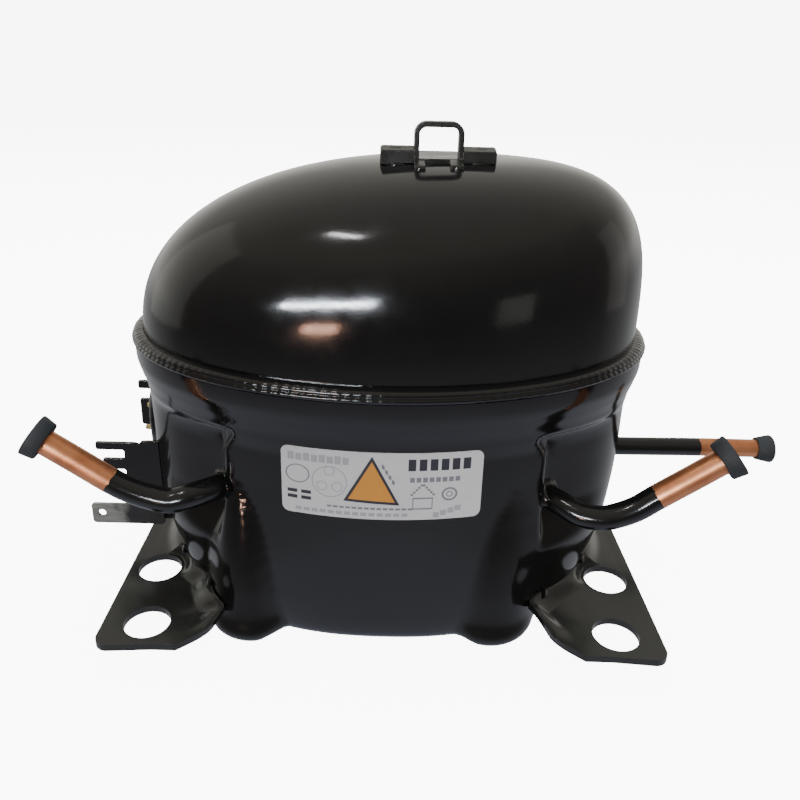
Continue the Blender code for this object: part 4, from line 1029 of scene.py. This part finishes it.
def build_terminals(shell):
    """A welded steel cup with three pins, each in its bead of glass."""
    bm = bmesh.new()
    section = ((0.0, -98.8), (8.4, -98.8), (9.6, -98.4), (11.4, -97.2), (12.3, -96.0), (12.7, -94.6),
               (12.7, -91.0), (0.0, -91.0))
    add_turned(bm, section, along_x)
    add_piece("terminal_cup", bm, STEEL, nodes=("terminal_header",), sharp=30.0)
    pin = ((0.0, -103.2), (0.8, -103.2), (1.15, -102.7), (1.15, -85.0), (0.9, -84.7), (0.0, -84.7))
    bead = ((1.2, -100.3), (1.9, -100.1), (2.9, -99.4), (3.1, -98.7), (1.2, -98.7), (1.2, -100.3))
    for number, degrees in enumerate((90, 210, 330), 1):
        y = PIN_CIRCLE * math.cos(math.radians(degrees))
        z = PIN_CIRCLE * math.sin(math.radians(degrees))

        def at_pin(u, v, along):
            return along_x(y + u, z + v, along)

        bm = bmesh.new()
        add_turned(bm, pin, at_pin, 24)
        add_piece(f"pin_{number}", bm, BRASS, nodes=(f"terminal_pin_{number}",))
        bm = bmesh.new()
        add_turned(bm, bead, at_pin, 32)
        add_piece(f"glass_bead_{number}", bm, GLASS_SEAL)
    bm = bmesh.new()
    loops = []
    for c, s in circle(120):
        lump = 0.2 * noise.noise(Vector((5.0 * c, 5.0 * s, 3.0)))
        loops.append([])
        bead = ((12.6, 1.6), (13.6, 1.5 + lump), (14.8, 0.7 + lump), (15.4, -0.6), (12.6, -1.2))
        for radius, lift in bead:
            y = radius * c
            z = HEADER_Z + radius * s
            loops[-1].append((hit(shell, (-OUTSIDE, y, z), INWARD)[0].x - lift, y, z))
    add_loft(bm, loops, ring_shaped=True)
    add_piece("terminal_cup_weld", bm, BEAD_PAINT, sharp=60.0)


def build_terminal_bracket(shell):
    """Two sheet cheeks and the cross-piece that joins them below the terminals; one cheek is forked."""
    cheek_y, sheet = 21.0, 1.4

    def cheek(start, outline, y0):
        heights = [24.0 + 2.0 * i for i in range(27) if 24.0 + 2.0 * i < start] + [start]
        edge = [(hit(shell, (-OUTSIDE, -cheek_y, z), INWARD)[0].x - 0.1, z) for z in heights]
        corners = rounded(edge[:1] + edge[-1:] + outline, 1.0, 4)[10:]
        add_prism(bm, edge + corners, lambda u, v, along: (u, along, v), y0, y0 + sheet)

    bm = bmesh.new()
    forked = [(-100.4, 60.8), (-101.4, 59.2), (-102.8, 60.0), (-119.4, 60.0), (-119.4, 56.5),
              (-107.8, 56.5), (-107.8, 52.5), (-117.0, 52.5), (-117.0, 47.5), (-107.8, 47.5),
              (-107.8, 43.5), (-117.0, 43.5), (-117.0, 40.0), (-101.0, 40.0), (-99.0, 24.0)]
    notched = [(-101.0, 76.0), (-101.2, 70.0), (-113.7, 70.0), (-113.7, 66.0), (-106.0, 66.0),
               (-106.0, 61.0), (-113.5, 61.0), (-113.5, 48.0), (-104.0, 46.0), (-99.0, 24.0)]
    cheek(61.0, forked, -cheek_y)
    cheek(76.0, notched, cheek_y - sheet)
    reach = cheek_y - 0.1
    cross = [(-reach, 45.0), (reach, 45.0), (reach, 32.0), (-reach, 32.0)]
    add_prism(bm, cross, lambda u, v, along: (along, u, v), -101.2, -99.8)
    bracket = add_piece("forked_bracket", bm, PAINT, nodes=("terminal_bracket",), sharp=30.0)
    soften(bracket, 0.3, 3)


def build_ground_tab():
    (x0, x1), (y0, y1), (z0, z1) = (cad_range("ground_tab", axis) for axis in range(3))
    outline = rounded([(x1, z0), (x0, z0), (x0, z1), (x1, z1)], 1.7, 6)
    hole = [(-119.4 + 1.6 * c, 27.0 + 1.6 * s) for c, s in circle(36)]
    bm = bmesh.new()
    edges = []
    for line in (outline, hole):
        ring = [bm.verts.new((x, y0, z)) for x, z in line]
        edges += [bm.edges.new((p, q)) for p, q in zip(ring, ring[1:] + ring[:1])]
    made = bmesh.ops.triangle_fill(bm, edges=edges, use_beauty=True)
    faces = [g for g in made["geom"] if isinstance(g, bmesh.types.BMFace)]
    extruded = bmesh.ops.extrude_face_region(bm, geom=faces)
    moved = [g for g in extruded["geom"] if isinstance(g, bmesh.types.BMVert)]
    bmesh.ops.translate(bm, verts=moved, vec=(0.0, y1 - y0, 0.0))
    tab = add_piece("spade_tab", bm, tab_finish(), nodes=("ground_tab",), sharp=30.0)
    soften(tab, 0.18, 2)


# ---- small details ----
def build_spot_welds(shell):
    """Drops of weld metal between the feet and the shell."""
    bm = bmesh.new()
    for side in (-1, 1):
        for y in (-52.0, -30.0, 30.0, 52.0):
            x = side * (foot_inner_edge(shell, side, y) + 0.4)
            add_blob(bm, (x, y, FOOT_TOP_Z + 4.4), (1.4, 4.0, 1.3), y + side)
    add_piece("foot_welds", bm, BEAD_PAINT)


# ---- floor, world, lights, camera ----
BACKDROP, FLOOR_GLOW = 10.0, 9.0
ROOM_TURN = 0.6  # how far back the front of the room becomes the back
# What the gloss mirrors, by height of the direction: 0.0 is straight down, 0.5 level, 1.0 straight up.
ROOM_FRONT = ((0.0, (0.62, 0.66, 0.82)), (0.20, (0.62, 0.64, 0.72)), (0.28, (0.38, 0.38, 0.42)),
              (0.34, (0.20, 0.20, 0.20)), (0.43, (0.15, 0.135, 0.125)), (0.60, (0.20, 0.185, 0.17)),
              (0.75, (0.33, 0.30, 0.25)), (0.84, (0.50, 0.45, 0.37)), (1.0, (0.58, 0.54, 0.46)))
ROOM_BACK = ((0.0, (0.50, 0.54, 0.60)), (0.42, (0.60, 0.60, 0.60)), (0.50, (1.3, 1.27, 1.2)),
             (0.60, (1.0, 0.97, 0.9)), (0.68, (0.72, 0.70, 0.63)), (1.0, (0.70, 0.67, 0.60)))


def build_floor():
    """A pale floor that thins out far from the object, so no horizon shows."""
    finish = Finish("pale_floor", (0.86, 0.86, 0.86), 0.0, 0.65)
    finish.shader.inputs["Emission Color"].default_value = (1.0, 1.0, 1.0, 1.0)
    finish.shader.inputs["Emission Strength"].default_value = FLOOR_GLOW
    length = finish.node("ShaderNodeVectorMath", operation="LENGTH")
    finish.link(finish.position, length.inputs[0])
    distance = finish.math("MULTIPLY", length.outputs["Value"], 0.4)
    finish.set("Alpha", finish.ramp(distance, ((0.2, 1.0), (0.9, 0.0))))
    bm = bmesh.new()
    bmesh.ops.create_circle(bm, cap_ends=True, segments=96, radius=3.0)
    mesh = bpy.data.meshes.new("floor")
    bm.to_mesh(mesh)
    bm.free()
    mesh.materials.append(finish.material)
    floor = bpy.data.objects.new("floor", mesh)
    floor.location.z = -0.0004
    floor.visible_glossy = False
    floor.visible_diffuse = False
    bpy.context.scene.collection.objects.link(floor)


def build_world():
    """White to the eye; what the gloss paint mirrors is a dim warm room above a bright floor."""
    world = bpy.data.worlds.new("studio")
    bpy.context.scene.world = world
    world.use_nodes = True
    world.node_tree.nodes.clear()
    nodes = Nodes(world.node_tree)
    split = nodes.node("ShaderNodeSeparateXYZ")
    nodes.link(nodes.node("ShaderNodeTexCoord").outputs["Generated"], split.inputs["Vector"])
    height = nodes.math("MULTIPLY_ADD", split.outputs["Z"], 0.5, 0.5)
    behind = nodes.math("DIVIDE", split.outputs["Y"], ROOM_TURN)
    room = nodes.node("ShaderNodeBackground")
    nodes.link(nodes.mix(behind, nodes.ramp(height, ROOM_FRONT), nodes.ramp(height, ROOM_BACK)),
               room.inputs["Color"])
    seen = nodes.node("ShaderNodeBackground")
    seen.inputs["Strength"].default_value = BACKDROP
    choose = nodes.node("ShaderNodeMixShader")
    nodes.link(nodes.node("ShaderNodeLightPath").outputs["Is Camera Ray"], choose.inputs["Fac"])
    nodes.link(room.outputs[0], choose.inputs[1])
    nodes.link(seen.outputs[0], choose.inputs[2])
    nodes.link(choose.outputs[0], nodes.node("ShaderNodeOutputWorld").inputs["Surface"])


def add_light(name, place, target, size, power, colour=(1.0, 1.0, 1.0), mirrored=True):
    """A panel facing a target: it either shows in the gloss or lights the matt surfaces."""
    data = bpy.data.lights.new(name, "AREA")
    data.shape = "RECTANGLE"
    data.size, data.size_y = size
    data.energy = power
    data.color = colour
    light = bpy.data.objects.new(name, data)
    light.location = place
    aim = Vector(target) - Vector(place)
    light.rotation_euler = aim.to_track_quat("-Z", "Y").to_euler()
    light.visible_glossy = mirrored
    light.visible_diffuse = not mirrored
    light.visible_camera = False
    bpy.context.scene.collection.objects.link(light)


def reflected(azimuth, elevation):
    """A place seen from the object in a direction: azimuth 0 is the front, 90 the right end."""
    a, e = math.radians(azimuth), math.radians(elevation)
    outward = Vector((math.sin(a) * math.cos(e), -math.cos(a) * math.cos(e), math.sin(e)))
    return Vector(LAMP_TARGET) + LAMP_DISTANCE * outward


LAMP_TARGET, LAMP_DISTANCE = (0.0, 0.0, 0.13), 1.5
# Soft lights that only light: place, height of the target, size, power.
SOFT_LIGHTS = {
    "overhead": ((0.0, 0.25, 1.7), 0.1, (1.6, 1.2), 32.0),
    "front_fill": ((-0.6, -1.6, 1.2), 0.08, (1.4, 1.0), 14.0),
    "right_fill": ((1.5, -0.7, 0.9), 0.1, (1.0, 1.0), 10.0),
}
# Windows and walls that the gloss paint mirrors: azimuth, elevation, size, power, colour.
MIRRORED_LIGHTS = {
    "window": (-24.0, 10.0, (0.85, 0.06), 26.0, (0.86, 0.93, 1.0)),
    "warm_lamp": (-24.0, -3.5, (0.3, 0.11), 3.4, (1.0, 0.56, 0.4)),
    "high_window": (-50.0, 63.0, (0.3, 0.05), 2.4, (1.0, 1.0, 1.0)),
    "doorway": (42.0, -3.0, (0.36, 0.3), 0.25, (0.85, 0.9, 0.85)),
    "right_wall": (100.0, 5.0, (0.5, 1.0), 0.4, (1.0, 0.9, 0.86)),
    "left_wall": (-104.0, 14.0, (1.0, 1.4), 1.7, (0.95, 0.97, 0.88)),
}


def build_lights():
    for name, (place, target_z, size, power) in SOFT_LIGHTS.items():
        add_light(name, place, (0.0, 0.0, target_z), size, power, mirrored=False)
    for name, (azimuth, elevation, size, power, colour) in MIRRORED_LIGHTS.items():
        add_light(name, reflected(azimuth, elevation), LAMP_TARGET, size, power, colour)


def build_camera():
    """The photograph's viewpoint: slightly above the bracket, looking down at the front."""
    pitch, yaw, roll = math.radians(20.70), math.radians(-0.54), math.radians(1.19)
    facing = Matrix.Rotation(-yaw, 4, "Z") @ Matrix.Rotation(0.5 * math.pi - pitch, 4, "X")
    data = bpy.data.cameras.new("camera")
    data.sensor_width = 36.0
    data.lens = 34.16
    data.shift_x = 0.0232
    data.shift_y = -0.0726
    data.clip_start = 0.01
    camera = bpy.data.objects.new("camera", data)
    place = Matrix.Translation((0.00014, -0.29615, 0.21095))
    camera.matrix_world = place @ facing @ Matrix.Rotation(roll, 4, "Z")
    bpy.context.scene.collection.objects.link(camera)
    bpy.context.scene.camera = camera


def main():
    finish_cad_nodes()
    shell = build_lower_shell()
    dome = build_upper_shell()
    build_weld_bead()
    for name, side in (("left", -1), ("right", 1)):
        finish_foot(build_foot(f"{name}_foot_plate", side, shell), f"{name}_foot")
    build_top_bracket(dome)
    for name in ROUTES:
        build_tube(name, shell)
    build_label(shell)
    build_terminals(shell)
    build_terminal_bracket(shell)
    build_ground_tab()
    build_spot_welds(shell)
    build_floor()
    build_world()
    build_lights()
    build_camera()


main()
